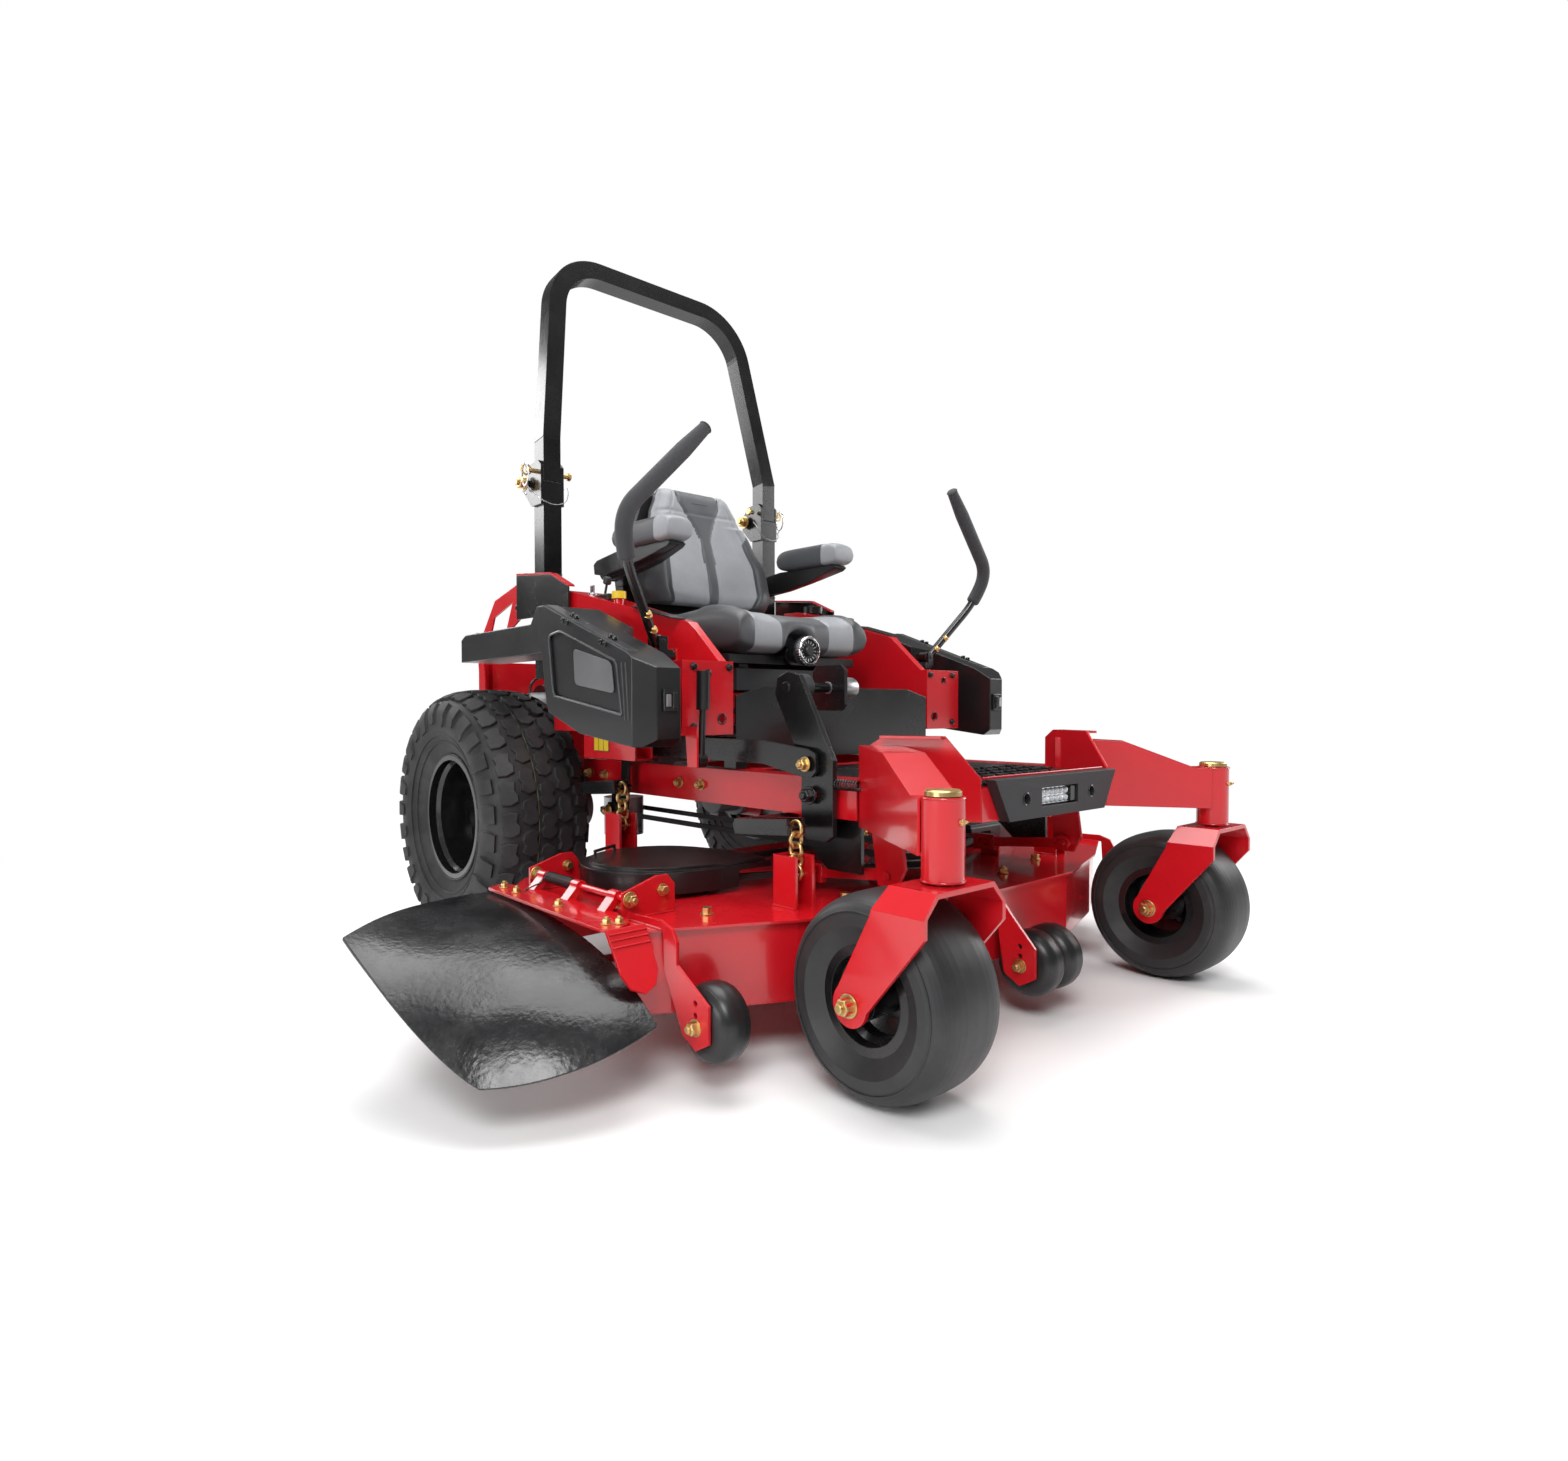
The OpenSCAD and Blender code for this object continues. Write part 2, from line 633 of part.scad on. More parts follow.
engine_z = rail_top + part_gap;
pump_y = -120;
drive_belt_z = 388;
motor_face = 325;
module engine_block()
    color("#55585c") {
        // Crankcase with two barrels in a V
        block([-120, 40, engine_z], [120, 270, 690]);
        rod_z(engine_z, 700, 0, crank_y, 210);
        both_sides() for (i = [0:6])
            beam([112 + i * 17, 170 + i * 10, 610], [118 + i * 17, 173.5 + i * 10, 610], 150, 130);
        both_sides() strut([90, 158, 610], [262, 259, 610], 96);
    }

module engine_covers()
    color(BLACK) {
        // Blower housing with its grille
        difference() {
            rod_z(700.5, 790, 0, crank_y, 330);
            for (r = [40, 70, 100, 130]) translate([0, crank_y, 786]) rotate_extrude()
                translate([r, 0]) square([14, 5]);
        }
        // Air filter canister and its bracket
        rod_x(-150, 150, 95, 850, 112);
        block([-60, 70, 789], [60, 130, 815]);
        // Muffler
        rod_x(-170, 170, 372, 620, 130);
        both_sides() rod_y(291, 325, 150, 610, 34);
    }

module crank_pulley()
    color(STEEL) {
        rod_z(212, engine_z - part_gap, 0, crank_y, 30);
        rod_z(drive_belt_z - 12, drive_belt_z + 12, 0, crank_y, 2 * (clutch_r - 14));
        for (e = [-12, 9]) rod_z(drive_belt_z + e, drive_belt_z + e + 3, 0, crank_y, 2 * clutch_r);
        rod_z(212, 330, 0, crank_y, 2 * clutch_r);
    }

module hydro_pump()
    color("#7d7f83") difference() {
        union() {
            block([-95, -180, 412], [95, -60, rail_top - 8.4]);
            both_sides() rod_x(95, 150, pump_y, 440, 46);
            rod_z(404, 413, 0, pump_y, 70);
        }
        rod_z(403, 440, 0, pump_y, 18 + 2 * run_fit);
    }

module pump_pulley()
    color(STEEL) {
        rod_z(drive_belt_z - 12, 438, 0, pump_y, 18);
        rod_z(drive_belt_z - 12, drive_belt_z + 12, 0, pump_y, 2 * (clutch_r - 14));
        for (e = [-12, 9]) rod_z(drive_belt_z + e, drive_belt_z + e + 3, 0, pump_y, 2 * clutch_r);
    }

// Outline of a belt round pulleys given as [x, y, radius] in order, at a distance out
module belt_outline(pulleys, out)
    hull() for (p = pulleys) translate([p.x, p.y]) circle(r = p.z + out);

module belt(z, pulleys)
    translate([0, 0, z - belt_w / 2]) linear_extrude(belt_w) difference() {
        belt_outline(pulleys, 10);
        belt_outline(pulleys, 1);
    }

module pump_belt()
    color(RUBBER) belt(drive_belt_z, [[0, crank_y, clutch_r - 14], [0, pump_y, clutch_r - 14]]);

module wheel_motors()
    color("#6c6e72") both_sides() {
        rod_x(235, motor_face, 0, rear_r, 118);
        rod_x(motor_face - 1, motor_plate_x - 4.4, 0, rear_r, 144);
        rod_x(motor_plate_x - 5, rear_track / 2 - rear_half - 2, 0, rear_r, 100);
        // Brake arm
        beam([300, 0, rear_r], [300, -110, rear_r + 40], 8, 26);
        strut([262, -20, rear_r - 62], [262, 24, rear_r - 62], 30);
    }

// ---------------------------------------------------------------- mower deck

// Outline of the deck's top plate, anticlockwise from the discharge side
deck_half = 765;
deck_outline = [[-deck_half, -640], [-deck_half, -1040], [-700, -1080], [-500, -1178], [-245, -1262],
    [245, -1262], [500, -1178], [700, -1080], [deck_half, -1040], [deck_half, -640], [670, -530],
    [-670, -530]];

// Moves every corner of a convex outline inwards by d
function inset(pts, d) =
    let (n = len(pts))
    [for (i = [0:n - 1])
        let (u = pts[i] - pts[(i + n - 1) % n], v = pts[(i + 1) % n] - pts[i],
             p = [-u.y, u.x] / norm(u), q = [-v.y, v.x] / norm(v))
        pts[i] + d * (p + q) / (1 + p * q)];

spindles = [[-spindle_x, side_spindle_y], [0, centre_spindle_y], [spindle_x, side_spindle_y]];
hinge_x = -722;
hinge_height = 284;
roller_z = 112;
roller_y = -1180;
centre_roller_y = -1336;

// Channel that holds the lower end of a lift chain
module chain_channel(y, top) {
    block([chain_x - 24, y - 24, deck_top_z - 1], [chain_x - 18, y + 36, top]);
    block([chain_x + 18, y - 24, deck_top_z - 1], [chain_x + 24, y + 36, top]);
    block([chain_x - 24, y + 30, deck_top_z - 1], [chain_x + 24, y + 36, top]);
}

lift_angle = 4.5;
front_chain_y = front_shaft_y - lift_arm_len * cos(lift_angle);
rear_chain_y = rear_shaft_y - lift_arm_len * cos(lift_angle);
front_chain_z = front_shaft_z + lift_arm_len * sin(lift_angle);
rear_chain_z = rear_shaft_z + lift_arm_len * sin(lift_angle);

module roller_bracket(x) {
    plate_x(x, 6, [[-930, deck_top_z - 1], [-930, 262], [-1085, 266], [-1118, 256], [-1130, 236],
        [-1130, 200], [-1212, 152], [-1212, 92], [-1180, 74], [-1146, 92], [-1096, 186],
        [-1092, deck_top_z - 1]]);
}

module deck_shell()
    color(RED) difference() {
        union() {
            difference() {
                union() {
                    plate_z(skirt_bottom, skirt_depth, deck_outline);
                    // Rim of the top plate, bent out past the skirt
                    plate_z(deck_top_z - 5, 5, inset(deck_outline, -13));
                }
                plate_z(skirt_bottom - 1, skirt_depth + 1 - deck_plate, inset(deck_outline, deck_plate));
                // Side discharge
                block([-800, -1028, skirt_bottom - 1], [-740, -640, deck_top_z - deck_plate]);
            }
            // Baffles between the three cutting chambers
            for (e = [-1, 1]) plate_x(e * 245, 5, [[-1256, deck_top_z - 4], [-1256, 168],
                [-1150, 168], [-1100, deck_top_z - 4]]);
            // Spindle housings
            for (p = spindles) {
                rod_z(deck_top_z - 60, deck_top_z + 12, p.x, p.y, 64);
                rod_z(deck_top_z - 1, deck_top_z + 9, p.x, p.y, 132);
            }
            both_sides() {
                chain_channel(front_chain_y, 345);
                chain_channel(rear_chain_y, 372);
                roller_bracket(722);
                // Bracket of the push strut
                plate_x(rail_x, 6, [[-985, deck_top_z - 1], [-985, 300], [-1035, 300],
                    [-1035, deck_top_z - 1]]);
                rod_x(rail_x - 30, rail_x + 2, strut_rear[0], strut_rear[1], 12);
            }
            plate_x(-52, 6, [[-1215, deck_top_z - 1], [-1215, 262], [-1272, 262], [-1318, 206],
                [-1370, 150], [-1370, 92], [-1336, 72], [-1300, 92], [-1274, deck_top_z - 1]]);
            // Gussets that carry the chute's hinge rod
            for (y = [-650, -985]) plate_y(y, 6, [[-734, deck_top_z - 1], [-625, deck_top_z - 1],
                [-625, 300], [-640, 318], [-664, 318], [-734, 296]]);
            rod_y(-986, -649, hinge_x, hinge_height, 12);
            // Axle bolts of the anti-scalp rollers
            rod_x(-724, -640, roller_y, roller_z, 12);
            rod_x(640, 724, roller_y, roller_z, 12);
            rod_x(-54, 112, centre_roller_y, roller_z, 12);
        }
        for (p = spindles) rod_z(0, 400, p.x, p.y, spindle_d + 2 * run_fit);
        // Height adjusting holes of the roller brackets
        for (x = [-722, -52, 722]) for (i = [1, 2])
            rod_x(x - 6, x + 6, x == -52 ? centre_roller_y : roller_y, roller_z + 19 * i, 10);
    }

// Moulded cover over a side pulley, open below
module belt_cover_outline(grow)
    hull() {
        translate([spindle_x + 14, side_spindle_y + 30]) circle(r = 158 + grow, $fn = 32);
        translate([spindle_x - 85, side_spindle_y - 60]) square([130 + grow, 150 + grow], center = true);
    }
module belt_cover()
    difference() {
        union() {
            translate([0, 0, deck_top_z + 10]) linear_extrude(42) belt_cover_outline(0);
            translate([0, 0, deck_top_z + 51]) linear_extrude(8) belt_cover_outline(-18);
        }
        translate([0, 0, deck_top_z + 9]) linear_extrude(41) belt_cover_outline(-4);
        // Way for the belt
        translate([0, 0, deck_top_z + 9]) linear_extrude(32) polygon([[300, -1100], [430, -1100],
            [430, -500], [300, -500]]);
    }
module belt_covers()
    color(BLACK) both_sides() {
        belt_cover();
        bent_tube([[spindle_x + 50, -660, deck_top_z + 56], [spindle_x + 50, -660, deck_top_z + 72],
            [spindle_x + 120, -700, deck_top_z + 72], [spindle_x + 120, -700, deck_top_z + 56]], 7);
    }

// One belt joins the three spindles, the other comes down from the engine's clutch
module deck_belt()
    color(RUBBER) {
        belt(pulley_z, [for (p = spindles) [p.x, p.y, deck_pulley_r - 10]]);
        belt(upper_pulley_z, [[0, crank_y, clutch_r + 1.5], [0, centre_spindle_y, deck_pulley_r - 10]]);
    }

// Spindle shaft with its pulley above the deck and its blade below
module spindle(i)
    color(STEEL) translate([spindles[i].x, spindles[i].y, 0]) {
        rod_z(blade_z - 14, pulley_z + 22, 0, 0, spindle_d);
        rod_z(pulley_z - 8, pulley_z + 8, 0, 0, 2 * (deck_pulley_r - 10));
        for (e = [-9.5, 7]) rod_z(pulley_z + e, pulley_z + e + 2.5, 0, 0, 2 * deck_pulley_r);
        if (i == 1) {
            rod_z(pulley_z + 8, upper_pulley_z + 8, 0, 0, 2 * (deck_pulley_r - 10));
            rod_z(upper_pulley_z + 7, upper_pulley_z + 9.5, 0, 0, 2 * deck_pulley_r);
        }
        rod_z(blade_z - 4, deck_top_z - 60 - part_gap, 0, 0, 44);
        // Blade with raised tips
        translate([-blade_len / 2, -32, blade_z - 6]) cube([blade_len, 64, 6]);
        for (a = [0, 180]) rotate([0, 0, a])
            beam([blade_len / 2 - 130, 22, blade_z - 3], [blade_len / 2 - 9, 22, blade_z + 12], 16, 5);
        rod_z(blade_z - 20, blade_z - 5.5, 0, 0, 40);
    }

// Ring of round wire lying across X, or across Y when turned
module ring(x, y, z, turned)
    translate([x, y, z]) rotate([turned ? 90 : 0, turned ? 0 : 90, 0])
        rotate_extrude($fn = 36) translate([14, 0]) circle(d = 7, $fn = 20);

chain_drop = 90;
module lift_chain(y, top)
    for (i = [0:4]) ring(chain_x, y, top - 4 - 20 * i, i % 2 == 1);

module deck_hardware()
    color(ZINC) {
        both_sides() {
            lift_chain(front_chain_y, front_chain_z);
            lift_chain(rear_chain_y, rear_chain_z);
            rod_x(chain_x - 17.6, chain_x + 17.6, front_chain_y, front_chain_z - chain_drop, 8);
            rod_x(chain_x - 17.6, chain_x + 17.6, rear_chain_y, rear_chain_z - chain_drop, 8);
        }
        // Bolts on the top plate
        for (p = [[-600, -1050], [-330, -1130], [330, -1130], [600, -1050], [-690, -900], [690, -900]])
            translate([p.x, p.y, deck_top_z + part_gap]) bolt(17, 0);
    }

// Anti-scalp roller with rounded shoulders
module roller(x, y, w)
    translate([x, y, roller_z]) rotate([0, 90, 0]) rotate_extrude($fn = 64) difference() {
        union() {
            translate([6 + run_fit, -w / 2]) square([20, w]);
            translate([24, -w / 2 + 10]) square([roller_d / 2 - 24 - 6, w - 20]);
            for (e = [-1, 1]) translate([roller_d / 2 - 28, e * (w / 2 - 28)]) circle(r = 28, $fn = 48);
            translate([roller_d / 2 - 10, -w / 2 + 28]) square([10, w - 56]);
        }
        translate([-100, -w]) square([100 + 6 + run_fit, 2 * w]);
    }
roller_w = 68;
module roller_right() color(RUBBER) roller(-718 + roller_w / 2, roller_y, roller_w);
module roller_left() color(RUBBER) roller(718 - roller_w / 2, roller_y, roller_w);
module roller_centre() color(RUBBER) for (i = [0, 1])
    roller(-48 + roller_w / 2 + i * (roller_w + 2), centre_roller_y, roller_w);

// Hinged plate over the discharge with its front holding tab
tab_lean = 33;
module chute_plate()
    color(RED) difference() {
        union() {
            plate_z(257, 5, [[-738, -664], [-738, -974], [-760, -1050], [-800, -1074], [-822, -1060],
                [-806, -620], [-770, -600]]);
            for (y = [-690, -818, -946]) {
                plate_y(y, 24, [[hinge_x - 34, 258], [hinge_x - 12, hinge_height - 2],
                    [hinge_x - 6, hinge_height + 8], [hinge_x + 4, hinge_height + 8],
                    [hinge_x + 4, hinge_height - 6], [hinge_x - 16, 258]]);
                rod_y(y - 12, y + 12, hinge_x, hinge_height, 22);
            }
            // Tab that presses the front of the deflector down
            translate([0, -1074, 262]) rotate([-tab_lean, 0, 0]) plate_y(0, 5, [[-822, 0], [-748, 0],
                [-752, -78], [-765, -102], [-787, -112], [-810, -100], [-820, -74]]);
        }
        rod_y(-1200, -500, hinge_x, hinge_height, 12 + 2 * run_fit);
    }

// Curved rubber sheet drawn as a Bezier patch: rows run from rear to front,
// columns from the hinge outwards
deflector_net = [
    [[-790, -602, 247], [-880, -640, 258], [-1020, -720, 275], [-1130, -802, 253]],
    [[-790, -760, 247], [-900, -800, 262], [-1030, -860, 250], [-1118, -905, 200]],
    [[-792, -1030, 248], [-900, -1080, 258], [-1020, -1050, 190], [-1085, -1040, 110]],
    [[-792, -1172, 128], [-870, -1184, 104], [-968, -1160, 80], [-1042, -1100, 80]]
];
deflector_steps = 12;
deflector_t = 6;
function bernstein(t) = [pow(1 - t, 3), 3 * t * pow(1 - t, 2), 3 * t * t * (1 - t), pow(t, 3)];
function patch(u, v) =
    let (bu = bernstein(u), bv = bernstein(v))
    [for (k = [0:2]) bv * [for (row = deflector_net) bu * [for (p = row) p[k]]]];
module chute_deflector() {
    n = deflector_steps;
    sheet = [for (j = [0:n], i = [0:n]) patch(i / n, j / n)];
    below = [for (p = sheet) p - [0, 0, deflector_t]];
    m = n + 1;
    count = m * m;
    quads = [for (j = [0:n - 1], i = [0:n - 1]) [j * m + i, j * m + i + 1, (j + 1) * m + i + 1, (j + 1) * m + i]];
    rim = concat([for (i = [0:n - 1]) i], [for (j = [0:n - 1]) j * m + n],
        [for (i = [n:-1:1]) n * m + i], [for (j = [n:-1:1]) j * m]);
    color(RUBBER) polyhedron(
        points = concat(sheet, below),
        faces = concat(
            [for (q = quads) each [[q[0], q[1], q[2]], [q[0], q[2], q[3]]]],
            [for (q = quads) each [[q[2] + count, q[1] + count, q[0] + count],
                [q[3] + count, q[2] + count, q[0] + count]]],
            [for (k = [0:len(rim) - 1]) let (a = rim[k], b = rim[(k + 1) % len(rim)])
                each [[a, a + count, b + count], [a, b + count, b]]]));
}

// ---------------------------------------------------------------- lift, brake and levers

module lift_pedal()
    color(BLACK) {
        difference() {
            union() {
                rod_x(-rail_x - 45, -rail_x - 33, pedal_pivot[0], pedal_pivot[1], 48);
                plate_x(-rail_x - 39, 12, [[-1128, 372], [-1110, 360], [-1060, 360], [-1044, 376],
                    [-1044, 505], [-968, 640], [-974, 674], [-1004, 686], [-1036, 678], [-1050, 655],
                    [-1128, 515]]);
                rod_x(-rail_x - 48, -172, pedal_pivot[0] + 75, pedal_pivot[1] + 208, 20);
            }
            rod_x(-400, -300, pedal_pivot[0], pedal_pivot[1], 20 + 2 * run_fit);
        }
        // Foot roller and the guard plate beside it
        rod_x(-228, -174, pedal_pivot[0] + 75, pedal_pivot[1] + 208, 42);
        plate_x(-240, 8, [[-1046, 620], [-1034, 608], [-966, 608], [-954, 620], [-954, 690],
            [-966, 702], [-1034, 702], [-1046, 690]]);
        // Pin of the lift link
        rod_x(link_x - 9, -rail_x - 34, link_front[0], link_front[1], 12);
    }

// Cross shaft with a chain arm on each side; the pins hook the chains
module lift_arms(y, z) {
    rod_x(-chain_x - 14, chain_x + 14, y, z, 30);
    both_sides() for (e = [-1, 1])
        beam([chain_x + e * 19, y, z], [chain_x + e * 19, y - lift_arm_len * cos(lift_angle),
            z + lift_arm_len * sin(lift_angle)], 8, 30);
    both_sides() rod_x(chain_x - 24, chain_x + 24, y - lift_arm_len * cos(lift_angle),
        z + lift_arm_len * sin(lift_angle), 8);
}
module front_lift_arms() color(BLACK) lift_arms(front_shaft_y, front_shaft_z);
link_x = -rail_x - 56;
link_hole = 20;
link_front = [pedal_pivot[0], pedal_pivot[1] + crank_len];
link_rear = [rear_shaft_y, rear_shaft_z - crank_len];
module rear_lift_arms()
    color(BLACK) {
        lift_arms(rear_shaft_y, rear_shaft_z);
        // Crank hanging down to the link
        plate_x(link_x + 12, 8, [[rear_shaft_y - 15, rear_shaft_z], [rear_shaft_y - 15, link_rear[1] - 6],
            [rear_shaft_y - 8, link_rear[1] - 14], [rear_shaft_y + 8, link_rear[1] - 14],
            [rear_shaft_y + 15, link_rear[1] - 6], [rear_shaft_y + 15, rear_shaft_z]]);
        rod_x(link_x - 9, link_x + 10, link_rear[0], link_rear[1], 12);
    }

// Link from the pedal back to the rear shaft, bent down in front of the shaft
module lift_link()
    color(BLACK) difference() {
        plate_x(link_x, 8, [[link_front[0] - 22, 492], [link_front[0] - 22, 526], [-1075, 536],
            [-950, 549], [-480, 549], [-430, 505], [-424, 384], [link_rear[0] + 12, 380],
            [link_rear[0] + 20, 366], [link_rear[0] + 16, 346], [-400, 342], [-448, 352],
            [-458, 470], [-492, 502], [-946, 502], [-1058, 482], [-1085, 482]]);
        rod_x(link_x - 10, link_x + 10, link_front[0], link_front[1], link_hole);
        rod_x(link_x - 10, link_x + 10, link_rear[0], link_rear[1], link_hole);
    }

// Struts that hold the deck from the front frame; a slot takes up its rise and fall
strut_x = rail_x - 21;
module push_struts()
    color(RED) both_sides() {
        rod_x(rail_x - 30, rail_x + 4, strut_front[0], strut_front[1], 16);
        difference() {
            union() {
                rod_x(strut_x - 7, strut_x + 7, strut_front[0], strut_front[1], 34);
                beam([strut_x, strut_front[0], strut_front[1]], [strut_x, strut_rear[0], strut_rear[1]], 12, 22);
                block([strut_x - 7, strut_rear[0] - 30, strut_rear[1] - 19],
                    [strut_x + 7, strut_rear[0] + 30, strut_rear[1] + 19]);
            }
            for (e = [-9, 9]) rod_x(strut_x - 10, strut_x + 10, strut_rear[0] + e, strut_rear[1], 15);
            block([strut_x - 10, strut_rear[0] - 9, strut_rear[1] - 7.5],
                [strut_x + 10, strut_rear[0] + 9, strut_rear[1] + 7.5]);
        }
    }

module parking_brake()
    color("#4a4d52") {
        difference() {
            union() {
                rod_x(-450, -430, brake_pivot[0], brake_pivot[1], 30);
                strut([-440, brake_pivot[0] - 4, brake_pivot[1] + 8], [-440, brake_pivot[0] - 10, 618], 14);
            }
            rod_x(-460, -420, brake_pivot[0], brake_pivot[1], 12 + 2 * run_fit);
        }
        strut([-440, brake_pivot[0] - 10, 610], [-440, brake_pivot[0] - 12, 690], 28);
    }

// Hub of a control lever: it turns fore and aft on the console's pin and
// carries the cross pin on which the lever swings outwards
swing_pivot = [456, -694, 756];
module lever_hub(s)
    color(BLACK) side(s) difference() {
        union() {
            rod_x(417, 459, lever_base.y, lever_base.z, 26);
            for (y = [-712, -676]) block([444, y - 4, 722], [466, y + 4, 766]);
            block([430, -716, 722], [459, -672, 738]);
            rod_y(-717, -671, swing_pivot.x, swing_pivot.z, 10);
        }
        rod_x(410, 470, lever_base.y, lever_base.z, 10 + 2 * run_fit);
    }

lever_route = [swing_pivot + [8, 0, 8], [581, -766, 909], [607, -794, 996], [418, -814, 1192]];
module lever(s)
    color("#2b2c2f") side(s) {
        difference() {
            union() {
                rod_y(-707, -681, swing_pivot.x, swing_pivot.z, 26);
                bent_tube(lever_route, 22);
            }
            rod_y(-760, -640, swing_pivot.x, swing_pivot.z, 10 + 2 * run_fit);
        }
    }

// ---------------------------------------------------------------- seat

module suspension_top()
    color("#8b8d91") difference() {
        union() {
            difference() {
                block([-190, -640, 655], [190, -310, 708]);
                block([-184, -634, 654], [184, -316, 700]);
            }
            both_sides() rod_z(605, 702, guide_x, -475, 48);
        }
        both_sides() rod_z(600, 692, guide_x, -475, 30 + 2 * run_fit);
    }

knob_pos = [-21, 752];
module seat_shell()
    color(BLACK) difference() {
        union() {
            both_sides() block([120, -600, 708.5], [150, -330, 722]);
            block([-215, -642, 720], [215, -200, 742]);
            // Back shell
            intersection() {
                plate_x(0, 600, [[-248, 735], [-216, 735], [-136, 1222], [-150, 1224], [-176, 1206],
                    [-226, 900]]);
                plate_y(-200, 300, [[-205, 730], [-236, 880], [-238, 1010], [-190, 1090], [-128, 1226],
                    [128, 1226], [190, 1090], [238, 1010], [236, 880], [205, 730]]);
            }
            both_sides() {
                rod_x(225, 262, arm_pivot[0], arm_pivot[1], 20);
                block([224, -226, 940], [240, -196, 996]);
            }
            rod_y(-658, -625, knob_pos[0], knob_pos[1] - 8, 50);
        }
        rod_y(-700, -628, knob_pos[0], knob_pos[1], 14 + 2 * run_fit);
    }

module seat_cushion()
    color("#7b7e83") difference() {
        intersection() {
            plate_x(0, 600, [[-684, 762], [-672, 744], [-262, 744], [-256, 866], [-300, 880],
                [-600, cushion_top + 8], [-672, cushion_top], [-690, 830]]);
            plate_z(700, 300, [[-cushion_w / 2 + 26, -690], [cushion_w / 2 - 26, -690],
                [cushion_w / 2, -655], [cushion_w / 2, -300], [cushion_w / 2 - 30, -256],
                [-cushion_w / 2 + 30, -256], [-cushion_w / 2, -300], [-cushion_w / 2, -655]]);
        }
        rod_y(-700, -620, knob_pos[0], knob_pos[1], 104);
    }

module seat_backrest()
    color("#8b8f94") intersection() {
        plate_x(0, 600, [[-330, 884], [-250, 884], [-182, backrest_top - 14], [-200, backrest_top],
            [-226, backrest_top - 10], [-296, 980], [-336, 920]]);
        plate_y(-260, 400, [[-214, 880], [-234, 930], [-230, 1000], [-196, 1066], [-158, 1150],
            [-136, backrest_top - 16], [-110, backrest_top], [110, backrest_top],
            [136, backrest_top - 16], [158, 1150], [196, 1066], [230, 1000], [234, 930], [214, 880]]);
    }

arm_pivot = [-210, 975];
module armrest(s)
    color("#3b3d41") side(s) {
        difference() {
            plate_x(262, 20, [[-190, 958], [-190, 996], [-300, 1014], [-528, 1014], [-528, 1008],
                [-430, 978], [-310, 964], [-230, 954]]);
            rod_x(240, 280, arm_pivot[0], arm_pivot[1], 20 + 2 * run_fit);
        }
        // Pad
        intersection() {
            plate_x(284, 82, [[-300, 1014.5], [-300, armrest_top - 8], [-320, armrest_top],
                [-510, armrest_top], [-537, armrest_top - 10], [-546, 1040], [-540, 1020], [-530, 1014.5]]);
            plate_z(1000, 100, [[250, -300], [318, -300], [325, -312], [325, -524], [312, -546],
                [256, -546], [243, -524], [243, -312]]);
        }
    }

module ride_knob()
    color("#aeb1b5") {
        rod_y(-720, -684, knob_pos[0], knob_pos[1], 72);
        rod_y(-685, -662, knob_pos[0], knob_pos[1], 60);
        rod_y(-664, -630, knob_pos[0], knob_pos[1], 14);
    }

module pto_knob()
    color("#d8b21c") {
        rod_z(840, 884, -396, -450, 10);
        rod_z(872.5, 890, -396, -450, 34);
    }

// ---------------------------------------------------------------- nodes

place() {
    main_frame();
    front_frame();
    foot_platform();
    front_bumper();
    consoles();
    platform_panels();
    fuel_tanks();
    fuel_cap();
    rollbar_posts();
    rollbar_hoop();
    lock_pin(RIGHT);  // lock_pin_right
    lock_pin(LEFT);  // lock_pin_left
    rear_guard();
    engine_block();
    engine_covers();
    crank_pulley();
    hydro_pump();
    pump_pulley();
    pump_belt();
    wheel_motors();
    rear_rim(RIGHT);  // rear_rim_right
    rear_tyre(RIGHT);  // rear_tyre_right
    rear_rim(LEFT);  // rear_rim_left
    rear_tyre(LEFT);  // rear_tyre_left
    caster_fork(RIGHT);  // caster_fork_right
    caster_fork(LEFT);  // caster_fork_left
    caster_rim(RIGHT);  // caster_rim_right
    caster_tyre(RIGHT);  // caster_tyre_right
    caster_rim(LEFT);  // caster_rim_left
    caster_tyre(LEFT);  // caster_tyre_left
    deck_shell();
    belt_covers();
    deck_belt();
    spindle(0);  // spindle_right
    spindle(1);  // spindle_centre
    spindle(2);  // spindle_left
    deck_hardware();
    roller_right();
    roller_left();
    roller_centre();
    chute_plate();
    chute_deflector();
    lift_pedal();
    front_lift_arms();
    rear_lift_arms();
    lift_link();
    push_struts();
    parking_brake();
    lever_hub(RIGHT);  // lever_hub_right
    lever_hub(LEFT);  // lever_hub_left
    lever(RIGHT);  // lever_right
    lever(LEFT);  // lever_left
    suspension_top();
    seat_shell();
    seat_cushion();
    seat_backrest();
    armrest(RIGHT);  // armrest_right
    armrest(LEFT);  // armrest_left
    ride_knob();
    pto_knob();
}
